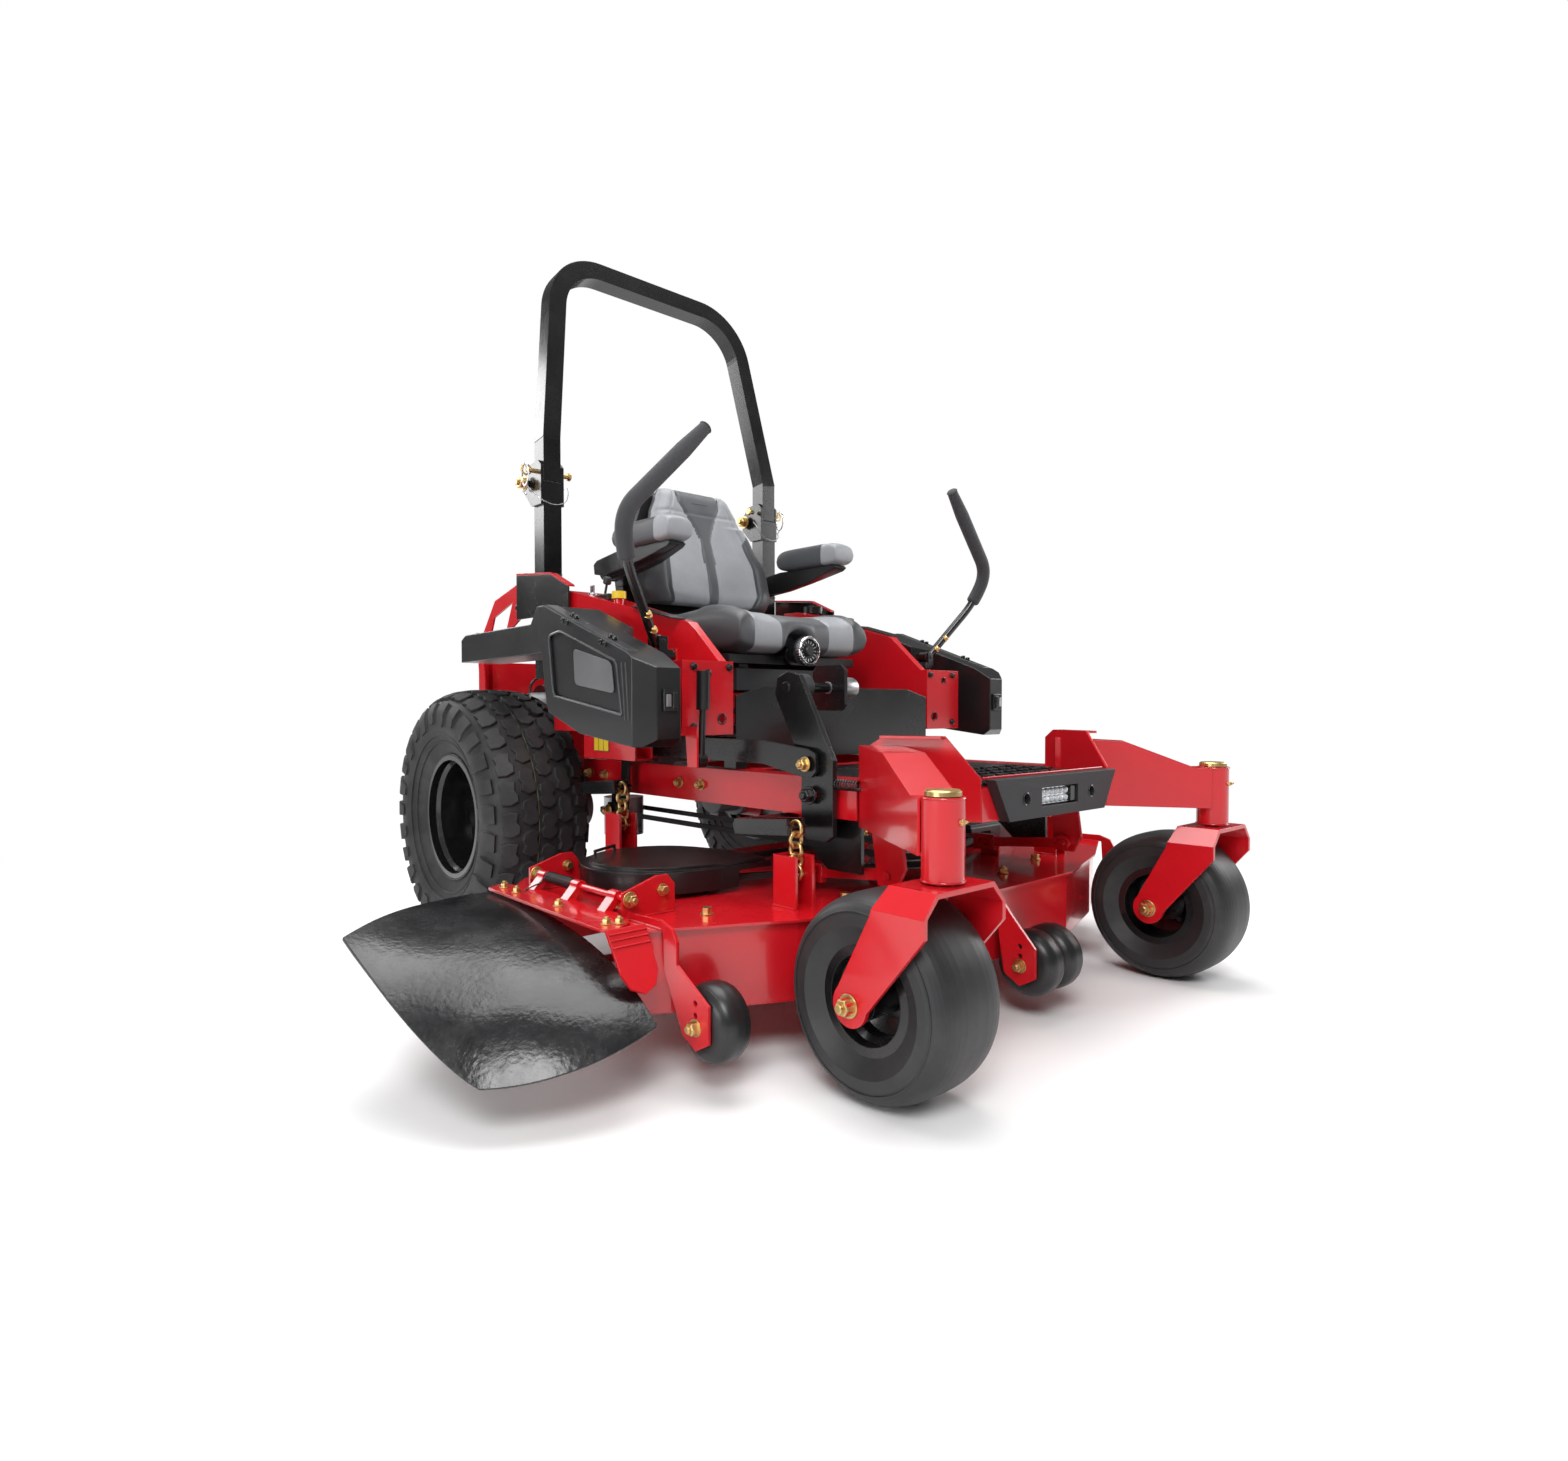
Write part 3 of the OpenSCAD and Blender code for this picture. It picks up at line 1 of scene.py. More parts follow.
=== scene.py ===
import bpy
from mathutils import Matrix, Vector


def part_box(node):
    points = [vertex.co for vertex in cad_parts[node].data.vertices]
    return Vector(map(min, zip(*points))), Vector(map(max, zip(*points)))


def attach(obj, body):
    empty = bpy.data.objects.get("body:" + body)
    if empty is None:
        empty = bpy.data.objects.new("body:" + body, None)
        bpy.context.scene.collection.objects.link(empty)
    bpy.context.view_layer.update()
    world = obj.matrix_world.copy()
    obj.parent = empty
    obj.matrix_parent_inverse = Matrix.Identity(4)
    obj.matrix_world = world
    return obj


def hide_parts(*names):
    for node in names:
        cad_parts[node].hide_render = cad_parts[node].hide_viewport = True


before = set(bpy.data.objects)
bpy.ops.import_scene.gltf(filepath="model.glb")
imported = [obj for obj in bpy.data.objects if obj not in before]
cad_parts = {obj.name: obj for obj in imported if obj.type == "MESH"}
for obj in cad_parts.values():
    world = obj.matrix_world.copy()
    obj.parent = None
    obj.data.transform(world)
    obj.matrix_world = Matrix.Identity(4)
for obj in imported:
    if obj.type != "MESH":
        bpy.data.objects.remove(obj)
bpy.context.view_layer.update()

import math
import random

import bmesh
import bpy
from mathutils import Matrix, Vector, noise as mnoise

random.seed(7)
MM = 0.001

# ------------------------------------------------------------------ places
# Millimetre coordinates below start at the middle of the rear axle, on the ground.


def middle(node):
    lo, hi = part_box(node)
    return (lo + hi) / 2


right_hub, left_hub = middle("rear_tyre_right"), middle("rear_tyre_left")
AXLE = Vector(((right_hub.x + left_hub.x) / 2, right_hub.y, 0))


def at(x, y, z):
    return AXLE + Vector((x, y, z)) * MM


# ------------------------------------------------------------------ camera, light, floor
CAMERA_AT = at(-1583, -2314, 619)
CAMERA_YAW, CAMERA_PITCH = -42.74, -1.59
LENS = 20.87
# name, place, aim, width, height, watts
SOFTBOXES = (
    ("key", (-3.2, -3.4, 4.2), (0, 0, 0.6), 2.2, 2.2, 185),
    ("top", (0.3, 0.4, 4.6), (0, 0, 0), 3.4, 3.4, 165),
    ("side", (4.0, -1.6, 2.0), (0.2, 0, 0.7), 2.2, 1.6, 75),
    ("back", (-1.6, 4.2, 2.6), (0, 0, 0.8), 2.6, 1.6, 80),
    ("low", (-3.4, -0.6, 0.9), (0, 0, 0.5), 1.6, 0.8, 26),
)
SKY_STRENGTH = 0.6
FLOOR_FADE = (1.2, 3.2)


def camera_and_lights(scene):
    data = bpy.data.cameras.new("camera")
    data.lens, data.sensor_width = LENS, 36
    cam = bpy.data.objects.new("camera", data)
    cam.location = CAMERA_AT
    cam.rotation_euler = (math.radians(90 + CAMERA_PITCH), 0, math.radians(CAMERA_YAW))
    scene.collection.objects.link(cam)
    scene.camera = cam
    scene.view_settings.view_transform = "Standard"
    for name, place, aim, wide, tall, watts in SOFTBOXES:
        light = bpy.data.lights.new(name, "AREA")
        light.shape = "RECTANGLE"
        light.size, light.size_y, light.energy = wide, tall, watts
        obj = bpy.data.objects.new(name, light)
        obj.location = place
        obj.rotation_euler = (Vector(aim) - Vector(place)).to_track_quat("-Z", "Y").to_euler()
        scene.collection.objects.link(obj)


def surroundings(scene):
    """White where the camera looks past the floor, a soft grey sky everywhere else."""
    world = bpy.data.worlds.new("studio")
    scene.world = world
    world.use_nodes = True
    tree = world.node_tree
    tree.nodes.clear()
    new, link = tree.nodes.new, tree.links.new
    out, mix = new("ShaderNodeOutputWorld"), new("ShaderNodeMixShader")
    seen, lit = new("ShaderNodeBackground"), new("ShaderNodeBackground")
    path, coord = new("ShaderNodeLightPath"), new("ShaderNodeTexCoord")
    split, ramp = new("ShaderNodeSeparateXYZ"), new("ShaderNodeValToRGB")
    seen.inputs[0].default_value = (1, 1, 1, 1)
    stops = ramp.color_ramp.elements
    for stop, (pos, grey) in zip([stops[0], stops[1], stops.new(0.55)], [(0.0, 0.10), (1.0, 0.62), (0.55, 0.20)]):
        stop.position = pos
        stop.color = (grey, grey, grey, 1)
    link(coord.outputs["Generated"], split.inputs[0])
    link(split.outputs["Z"], ramp.inputs[0])
    link(ramp.outputs[0], lit.inputs[0])
    lit.inputs[1].default_value = SKY_STRENGTH
    link(path.outputs["Is Camera Ray"], mix.inputs[0])
    link(lit.outputs[0], mix.inputs[1])
    link(seen.outputs[0], mix.inputs[2])
    link(mix.outputs[0], out.inputs[0])


def floor(scene):
    """A pale disc that fades into plain white away from the machine."""
    bm = bmesh.new()
    bmesh.ops.create_circle(bm, cap_ends=True, segments=96, radius=40)
    mesh = bpy.data.meshes.new("floor")
    bm.to_mesh(mesh)
    obj = bpy.data.objects.new("floor", mesh)
    scene.collection.objects.link(obj)
    m = bpy.data.materials.new("floor")
    m.use_nodes = True
    m.node_tree.nodes.clear()
    new, link = m.node_tree.nodes.new, m.node_tree.links.new
    out, fade = new("ShaderNodeOutputMaterial"), new("ShaderNodeMixShader")
    near, far = new("ShaderNodeBsdfDiffuse"), new("ShaderNodeEmission")
    near.inputs[0].default_value = (0.93, 0.93, 0.93, 1)
    far.inputs[0].default_value = (1, 1, 1, 1)
    coord, length = new("ShaderNodeTexCoord"), new("ShaderNodeVectorMath")
    length.operation = "LENGTH"
    spread = new("ShaderNodeMapRange")
    spread.interpolation_type = "SMOOTHSTEP"
    spread.inputs["From Min"].default_value, spread.inputs["From Max"].default_value = FLOOR_FADE
    link(coord.outputs["Object"], length.inputs[0])
    link(length.outputs["Value"], spread.inputs[0])
    link(spread.outputs[0], fade.inputs[0])
    link(near.outputs[0], fade.inputs[1])
    link(far.outputs[0], fade.inputs[2])
    link(fade.outputs[0], out.inputs[0])
    mesh.materials.append(m)


camera_and_lights(bpy.context.scene)
surroundings(bpy.context.scene)
floor(bpy.context.scene)

# ------------------------------------------------------------------ materials


class Paint:
    """Builds one procedural material: a mottled base, roughness that varies, fine relief and softened edges."""

    def __init__(self, name):
        self.mat = bpy.data.materials.new(name)
        self.mat.use_nodes = True
        self.tree = self.mat.node_tree
        self.bsdf = self.tree.nodes["Principled BSDF"]
        coord = self.add("ShaderNodeTexCoord")
        self.place = coord.outputs["Object"]

    def add(self, kind, **values):
        node = self.tree.nodes.new(kind)
        for key, value in values.items():
            if hasattr(node, key):
                setattr(node, key, value)
            else:
                node.inputs[key.replace("_", " ").title()].default_value = value
        return node

    def link(self, a, b):
        self.tree.links.new(a, b)

    def noise(self, scale, detail=4.0, rough=0.55, stretch=None):
        node = self.add("ShaderNodeTexNoise")
        node.inputs["Scale"].default_value = scale
        node.inputs["Detail"].default_value = detail
        node.inputs["Roughness"].default_value = rough
        self.link(self.stretched(stretch), node.inputs["Vector"])
        return node.outputs["Fac"]

    def stretched(self, stretch):
        if not stretch:
            return self.place
        node = self.add("ShaderNodeMapping")
        node.inputs["Scale"].default_value = stretch
        self.link(self.place, node.inputs["Vector"])
        return node.outputs[0]

    def cells(self, scale, feature="F1"):
        node = self.add("ShaderNodeTexVoronoi")
        node.feature = feature
        node.inputs["Scale"].default_value = scale
        self.link(self.place, node.inputs["Vector"])
        return node.outputs["Distance"]

    def spread(self, value, low, high, to_low=0.0, to_high=1.0):
        node = self.add("ShaderNodeMapRange")
        for key, number in (("From Min", low), ("From Max", high), ("To Min", to_low), ("To Max", to_high)):
            node.inputs[key].default_value = number
        self.link(value, node.inputs["Value"])
        return node.outputs[0]

    def blend(self, fac, a, b):
        node = self.add("ShaderNodeMix", data_type="RGBA")
        for socket, value in ((node.inputs[6], a), (node.inputs[7], b)):
            if isinstance(value, tuple):
                socket.default_value = (*value, 1)
            else:
                self.link(value, socket)
        self.link(fac, node.inputs[0])
        return node.outputs[2]

    def math(self, kind, a, b):
        node = self.add("ShaderNodeMath", operation=kind)
        for socket, value in ((node.inputs[0], a), (node.inputs[1], b)):
            if isinstance(value, (int, float)):
                socket.default_value = value
            else:
                self.link(value, socket)
        return node.outputs[0]

    def edges(self, radius):
        """How close a point is to a sharp edge, from 0 to about 1, and the softened normal."""
        bevel = self.add("ShaderNodeBevel", samples=4)
        bevel.inputs["Radius"].default_value = radius
        geo = self.add("ShaderNodeNewGeometry")
        dot = self.add("ShaderNodeVectorMath", operation="DOT_PRODUCT")
        self.link(bevel.outputs[0], dot.inputs[0])
        self.link(geo.outputs["Normal"], dot.inputs[1])
        return self.spread(dot.outputs["Value"], 0.98, 0.75), bevel.outputs[0]

    def relief(self, height, strength, distance, normal=None):
        node = self.add("ShaderNodeBump")
        node.inputs["Strength"].default_value = strength
        node.inputs["Distance"].default_value = distance
        self.link(height, node.inputs["Height"])
        if normal:
            self.link(normal, node.inputs["Normal"])
        return node.outputs[0]


def tint(colour, k):
    return tuple(min(1.0, c * k) for c in colour)


def finish(name, colour, rough, metal=0.0, coat=0.0, coat_rough=0.08, mottle=0.12, patches=7.0, vary=0.08,
           grain=(900, 0.12, 0.0004), cells=None, worn=None, wear=0.35, soft=0.0012, dust=0.0, sheen=0.0,
           specular=0.5, brushed=None):
    p = Paint(name)
    broad = p.noise(patches, 5)
    fine = p.noise(patches * 9, 3)
    tone = p.math("ADD", p.math("MULTIPLY", broad, 0.7), p.math("MULTIPLY", fine, 0.3))
    base = p.blend(p.spread(tone, 0.3, 0.7), tint(colour, 1 - mottle), tint(colour, 1 + mottle))
    close, soft_normal = p.edges(soft)
    if worn:
        broken = p.math("MULTIPLY", close, p.spread(p.noise(60, 6, 0.7), 0.42, 0.62))
        base = p.blend(p.math("MULTIPLY", broken, wear), base, worn)
    if dust:
        lying = p.spread(p.noise(11, 6, 0.65), 0.45, 0.75, 0.0, dust)
        base = p.blend(lying, base, (0.30, 0.28, 0.25))
    p.link(base, p.bsdf.inputs["Base Color"])
    p.link(p.spread(tone, 0.25, 0.75, max(0.02, rough - vary), min(1.0, rough + vary)), p.bsdf.inputs["Roughness"])
    scale, strength, depth = grain
    relief = p.relief(p.noise(scale, 2, stretch=brushed), strength, depth, soft_normal)
    if cells:
        relief = p.relief(p.cells(cells[0]), cells[1], cells[2], relief)
    p.link(relief, p.bsdf.inputs["Normal"])
    p.bsdf.inputs["Metallic"].default_value = metal
    p.bsdf.inputs["Coat Weight"].default_value = coat
    p.bsdf.inputs["Coat Roughness"].default_value = coat_rough
    p.bsdf.inputs["Specular IOR Level"].default_value = specular
    if sheen:
        p.bsdf.inputs["Sheen Weight"].default_value = sheen
        p.bsdf.inputs["Sheen Roughness"].default_value = 0.5
    return p.mat


RED = (0.60, 0.007, 0.014)
M = {
    "red": finish("red_powder_coat", RED, 0.24, coat=0.55, mottle=0.07, patches=3, vary=0.05,
                  grain=(260, 0.10, 0.0006), worn=(0.75, 0.05, 0.05), wear=0.12, soft=0.0022),
    "black": finish("black_powder_coat", (0.007, 0.007, 0.0075), 0.25, coat=0.35, coat_rough=0.15, mottle=0.2,
                    grain=(420, 0.14, 0.0005), worn=(0.12, 0.12, 0.125), wear=0.12, soft=0.002),
    "plastic": finish("black_moulded_plastic", (0.008, 0.008, 0.009), 0.33, mottle=0.15, vary=0.06, coat=0.15,
                      grain=(1500, 0.25, 0.0003), worn=(0.10, 0.10, 0.105), wear=0.12, soft=0.003),
    # fender: a lighter grey copy of the black plastic, a painted highlight standing for the lit top of the tank; used
    # for the tank ribs and shoulder strips
    "fender": finish("fender_painted_highlight", (0.045, 0.047, 0.052), 0.30, mottle=0.1, vary=0.05, coat=0.2,
                     grain=(1300, 0.15, 0.0003), worn=(0.2, 0.2, 0.21), wear=0.12, soft=0.003),
    "grey": finish("grey_moulded_plastic", (0.020, 0.021, 0.024), 0.5, mottle=0.12,
                   grain=(1500, 0.25, 0.0003), worn=(0.14, 0.14, 0.15), wear=0.12, soft=0.0025),
    "tyre": finish("tyre_rubber", (0.016, 0.0165, 0.018), 0.62, mottle=0.22, patches=9, vary=0.1,
                   grain=(700, 0.3, 0.0005), dust=0.10, soft=0.0015),
    "caster_tyre": finish("smooth_tyre_rubber", (0.019, 0.0195, 0.021), 0.48, mottle=0.15, patches=6, vary=0.08,
                          grain=(900, 0.2, 0.0003), dust=0.06, soft=0.0015),
    "sheet_rubber": finish("deflector_rubber", (0.0055, 0.0058, 0.007), 0.24, mottle=0.35, patches=8, vary=0.14,
                           grain=(95, 0.35, 0.0016), cells=(130, 0.14, 0.0006), dust=0.10, soft=0.001),
    "belt": finish("belt_rubber", (0.02, 0.02, 0.021), 0.7, grain=(500, 0.3, 0.0004)),
    "steel": finish("turned_steel", (0.42, 0.42, 0.43), 0.36, metal=1.0, mottle=0.12, vary=0.1,
                    grain=(600, 0.15, 0.0002), worn=(0.7, 0.7, 0.7)),
    "chrome": finish("bright_steel", (0.78, 0.78, 0.79), 0.14, metal=1.0, mottle=0.05, vary=0.05,
                     grain=(500, 0.05, 0.0001)),
    "zinc": finish("yellow_zinc", (0.66, 0.47, 0.20), 0.34, metal=1.0, mottle=0.25, patches=40, vary=0.1,
                   grain=(900, 0.15, 0.0002)),
    "engine": finish("cast_alloy", (0.20, 0.205, 0.21), 0.55, metal=0.75, mottle=0.15, vary=0.1,
                     grain=(420, 0.5, 0.0006), worn=(0.5, 0.5, 0.5)),
    "foam": finish("foam_grip", (0.040, 0.041, 0.045), 0.85, mottle=0.15, patches=30, grain=(1900, 0.6, 0.0005),
                   sheen=0.15),
    "vinyl_light": finish("light_grey_vinyl", (0.30, 0.31, 0.33), 0.46, mottle=0.08, patches=9,
                          grain=(300, 0.18, 0.0005), cells=(620, 0.30, 0.0005), sheen=0.08),
    "vinyl_mid": finish("charcoal_vinyl", (0.085, 0.088, 0.095), 0.46, mottle=0.10, patches=9,
                        grain=(300, 0.18, 0.0005), cells=(620, 0.30, 0.0005), sheen=0.08),
    "vinyl_dark": finish("dark_grey_vinyl", (0.062, 0.065, 0.071), 0.44, mottle=0.12, patches=9,
                         grain=(300, 0.18, 0.0005), cells=(620, 0.30, 0.0005), sheen=0.06),
    "thread": finish("seat_thread", (0.30, 0.045, 0.055), 0.8, grain=(2500, 0.4, 0.0002)),
    "yellow": finish("yellow_plastic", (0.80, 0.56, 0.02), 0.38, grain=(1200, 0.1, 0.0002)),
    "white": finish("white_print", (0.72, 0.72, 0.70), 0.4, grain=(1200, 0.1, 0.0001)),
    "roller": finish("roller_plastic", (0.014, 0.014, 0.015), 0.33, mottle=0.2, vary=0.1,
                     grain=(500, 0.15, 0.0004), worn=(0.1, 0.1, 0.1), wear=0.4),
    "line": finish("tread_line", (0.10, 0.095, 0.055), 0.7, grain=(900, 0.2, 0.0002)),
    "plate": finish("plain_badge", (0.16, 0.162, 0.17), 0.35, metal=0.4, brushed=(1, 1, 30)),
    "exhaust": finish("exhaust_steel", (0.16, 0.15, 0.14), 0.5, metal=0.9, mottle=0.3, patches=12),
}


def lamp_glass():
    p = Paint("lamp_lens")
    p.link(p.blend(p.spread(p.cells(90), 0.0, 0.5), (0.85, 0.87, 0.9), (0.45, 0.47, 0.5)),
           p.bsdf.inputs["Base Color"])
    p.link(p.relief(p.cells(160), 0.4, 0.001), p.bsdf.inputs["Normal"])
    p.bsdf.inputs["Roughness"].default_value = 0.12
    p.bsdf.inputs["Coat Weight"].default_value = 0.8
    return p.mat


M["lens"] = lamp_glass()

NODE_LOOK = {
    "red": "main_frame front_frame consoles rear_guard deck_shell chute_plate push_struts caster_fork_right "
           "caster_fork_left",
    "black": "foot_platform platform_panels rollbar_posts rollbar_hoop lift_pedal front_lift_arms rear_lift_arms "
             "lift_link lever_hub_right lever_hub_left lever_right lever_left rear_rim_right rear_rim_left "
             "caster_rim_right caster_rim_left",
    "plastic": "fuel_tanks fuel_cap belt_covers engine_covers seat_shell parking_brake",
    "grey": "front_bumper suspension_top armrest_right armrest_left",
    "engine": "engine_block hydro_pump wheel_motors",
    "steel": "crank_pulley pump_pulley spindle_right spindle_centre spindle_left",
    "zinc": "lock_pin_right lock_pin_left deck_hardware",
    "belt": "pump_belt deck_belt",
    "sheet_rubber": "chute_deflector",
    "tyre": "rear_tyre_right rear_tyre_left",
    "caster_tyre": "caster_tyre_right caster_tyre_left",
    "roller": "roller_right roller_left roller_centre",
    "vinyl_mid": "seat_cushion seat_backrest",
    "chrome": "ride_knob",
    "yellow": "pto_knob",
}
for look, names in NODE_LOOK.items():
    for name in names.split():
        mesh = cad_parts[name].data
        mesh.materials.clear()
        mesh.materials.append(M[look])


# ------------------------------------------------------------------ shapes


def turns(n):
    """The angles of n points round a circle."""
    return [2 * math.pi * i / n for i in range(n)]


def axis_matrix(direction):
    return Vector(direction).normalized().to_track_quat("Z", "Y").to_matrix().to_4x4()


def smooth_object(name, bm, look, smooth):
    """An object from a finished bmesh, shaded smooth up to an angle in degrees."""
    mesh = bpy.data.meshes.new(name)
    bm.to_mesh(mesh)
    bm.free()
    mesh.materials.clear()
    mesh.materials.append(M[look])
    mesh.shade_smooth()
    mesh.set_sharp_from_angle(angle=math.radians(smooth))
    obj = bpy.data.objects.new(name, mesh)
    bpy.context.scene.collection.objects.link(obj)
    return obj


def round_edges(obj, width, segments, limit):
    mod = obj.modifiers.new("edges", "BEVEL")
    mod.width, mod.segments, mod.limit_method = width * MM, segments, "ANGLE"
    mod.angle_limit = math.radians(limit)
    mod.harden_normals = True


class Shape:
    """Solids gathered into one mesh. Points are millimetres from the rear axle."""

    def __init__(self):
        self.bm = bmesh.new()

    def face(self, verts):
        try:
            self.bm.faces.new(verts)
        except ValueError:
            pass  # the same face exists already, or its points fall together

    def loops(self, rings, caps=True):
        """Skins a list of closed rings of points, capped at both ends or joined round into a torus."""
        rows = [[self.bm.verts.new(p) for p in ring] for ring in rings]
        n = len(rows[0])
        pairs = list(zip(rows, rows[1:])) + ([] if caps else [(rows[-1], rows[0])])
        for a, b in pairs:
            for i in range(n):
                self.face((a[i], a[(i + 1) % n], b[(i + 1) % n], b[i]))
        if caps:
            self.face(list(reversed(rows[0])))
            self.face(rows[-1])
        return self

    def block(self, a, b):
        (x0, y0, z0), (x1, y1, z1) = a, b
        return self.loops([[(x0, y0, z), (x1, y0, z), (x1, y1, z), (x0, y1, z)] for z in (z0, z1)])

    def plate(self, points, offset):
        """A flat outline given in space, thickened by an offset vector."""
        off = Vector(offset)
        return self.loops([[Vector(p) for p in points], [Vector(p) + off for p in points]])

    def rod(self, a, b, d, n=28, chamfer=0.0):
        a, b = Vector(a), Vector(b)
        m = axis_matrix(b - a)
        length = (b - a).length
        steps = [(0, d / 2), (length, d / 2)]
        if chamfer:
            steps = [(0, d / 2 - chamfer), (chamfer, d / 2), (length - chamfer, d / 2), (length, d / 2 - chamfer)]
        return self.loops([[a + m @ Vector((r * math.cos(t), r * math.sin(t), z))
                            for t in turns(n)] for z, r in steps])

    def tube(self, points, d, n=16):
        """A tube along a smooth line. d is a number or one value for each point."""
        pts = [Vector(p) for p in points]
        sizes = d if isinstance(d, (list, tuple)) else [d] * len(pts)
        rings, side = [], None
        for i, p in enumerate(pts):
            t = (pts[min(i + 1, len(pts) - 1)] - pts[max(i - 1, 0)]).normalized()
            if side is None:
                side = t.orthogonal().normalized()
            side = (side - t * side.dot(t)).normalized()
            up = t.cross(side)
            rings.append([p + (side * math.cos(a) + up * math.sin(a)) * sizes[i] / 2
                          for a in turns(n)])
        return self.loops(rings)

    def ring(self, centre, axis, radius, wire, n=32, k=10):
        m = axis_matrix(axis)
        c = Vector(centre)
        rows = []
        for a in turns(n):
            out = Vector((math.cos(a), math.sin(a), 0))
            rows.append([c + m @ (out * (radius + wire * math.cos(b)) + Vector((0, 0, wire * math.sin(b))))
                         for b in turns(k)])
        return self.loops(rows, caps=False)

    def lathe(self, outline, centre, axis, n=72, closed=True):
        """Turns an outline of (radius, along) points round an axis."""
        m = axis_matrix(axis)
        c = Vector(centre)
        rows = [[c + m @ Vector((r * math.cos(a), r * math.sin(a), z)) for r, z in outline] for a in turns(n)]
        if closed:
            return self.loops(rows, caps=False)
        rows = [[self.bm.verts.new(p) for p in row] for row in rows]
        for a, b in zip(rows, rows[1:] + rows[:1]):
            for i in range(len(outline) - 1):
                self.face((a[i], a[i + 1], b[i + 1], b[i]))
        return self

    def bolt(self, place, axis, af, washer=True, nut=False):
        p, v = Vector(place), Vector(axis).normalized()
        m = axis_matrix(v)
        if washer:
            self.rod(p, p + v * af * 0.14, af * 1.5, 24, chamfer=af * 0.03)
            p = p + v * af * 0.14
        h = af * 0.6
        corner = af / math.sqrt(3)
        rings = [(0, corner), (h * 0.8, corner), (h, corner * 0.84)]
        self.loops([[p + m @ Vector((r * math.cos(t), r * math.sin(t), z)) for t in turns(6)] for z, r in rings])
        if nut:
            self.rod(p + v * h, p + v * (h + af * 0.25), af * 0.6, 16, chamfer=af * 0.05)
        return self

    def bolts(self, places, axis, af, nut=False):
        for place in places:
            self.bolt(place, axis, af, nut=nut)
        return self

    def make(self, name, body, look, bevel=0.0, smooth=38):
        bmesh.ops.recalc_face_normals(self.bm, faces=self.bm.faces)
        for v in self.bm.verts:
            v.co = AXLE + v.co * MM
        obj = smooth_object(name, self.bm, look, smooth)
        if bevel:
            round_edges(obj, bevel, 2, 35)
        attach(obj, body)
        return obj


def smooth_line(points, radius, steps=8):
    """Rounds the corners of a line of points."""
    pts = [Vector(p) for p in points]
    line = [pts[0]]
    for a, b, c in zip(pts, pts[1:], pts[2:]):
        u, v = (a - b), (c - b)
        cut = min(radius, u.length * 0.48, v.length * 0.48)
        p, q = b + u.normalized() * cut, b + v.normalized() * cut
        for i in range(steps + 1):
            t = i / steps
            line.append(p * (1 - t) ** 2 + b * 2 * t * (1 - t) + q * t ** 2)
    return line + [pts[-1]]


SIDES = ((-1, "right"), (1, "left"))


def mirrored(s, p):
    return (s * p[0], p[1], p[2])


# ------------------------------------------------------------------ tyres
REAR_R, REAR_HALF, REAR_RIM, LUG = 330.0, 138.0, 152.0, 9.0
REAR_X = 516
CREASE = 0.62
CASTER_X, CASTER_Y, CASTER_R, PIVOT_Y = 487, -1381, 165, -1479


def tyre_profile(r, bead, half, steps=40, power=CREASE, seat=0.72):
    """Points (radius, along) from the inner bead round the crown to the outer bead."""
    mid = bead + (r - bead) * 0.45
    pts = [(bead, half * seat)]
    for i in range(steps + 1):
        a = math.pi * i / steps
        pts.append((mid + (r - mid) * abs(math.sin(a)) ** power,
                    half * math.copysign(abs(math.cos(a)) ** power, math.cos(a))))
    return pts + [(bead, -half * seat)]


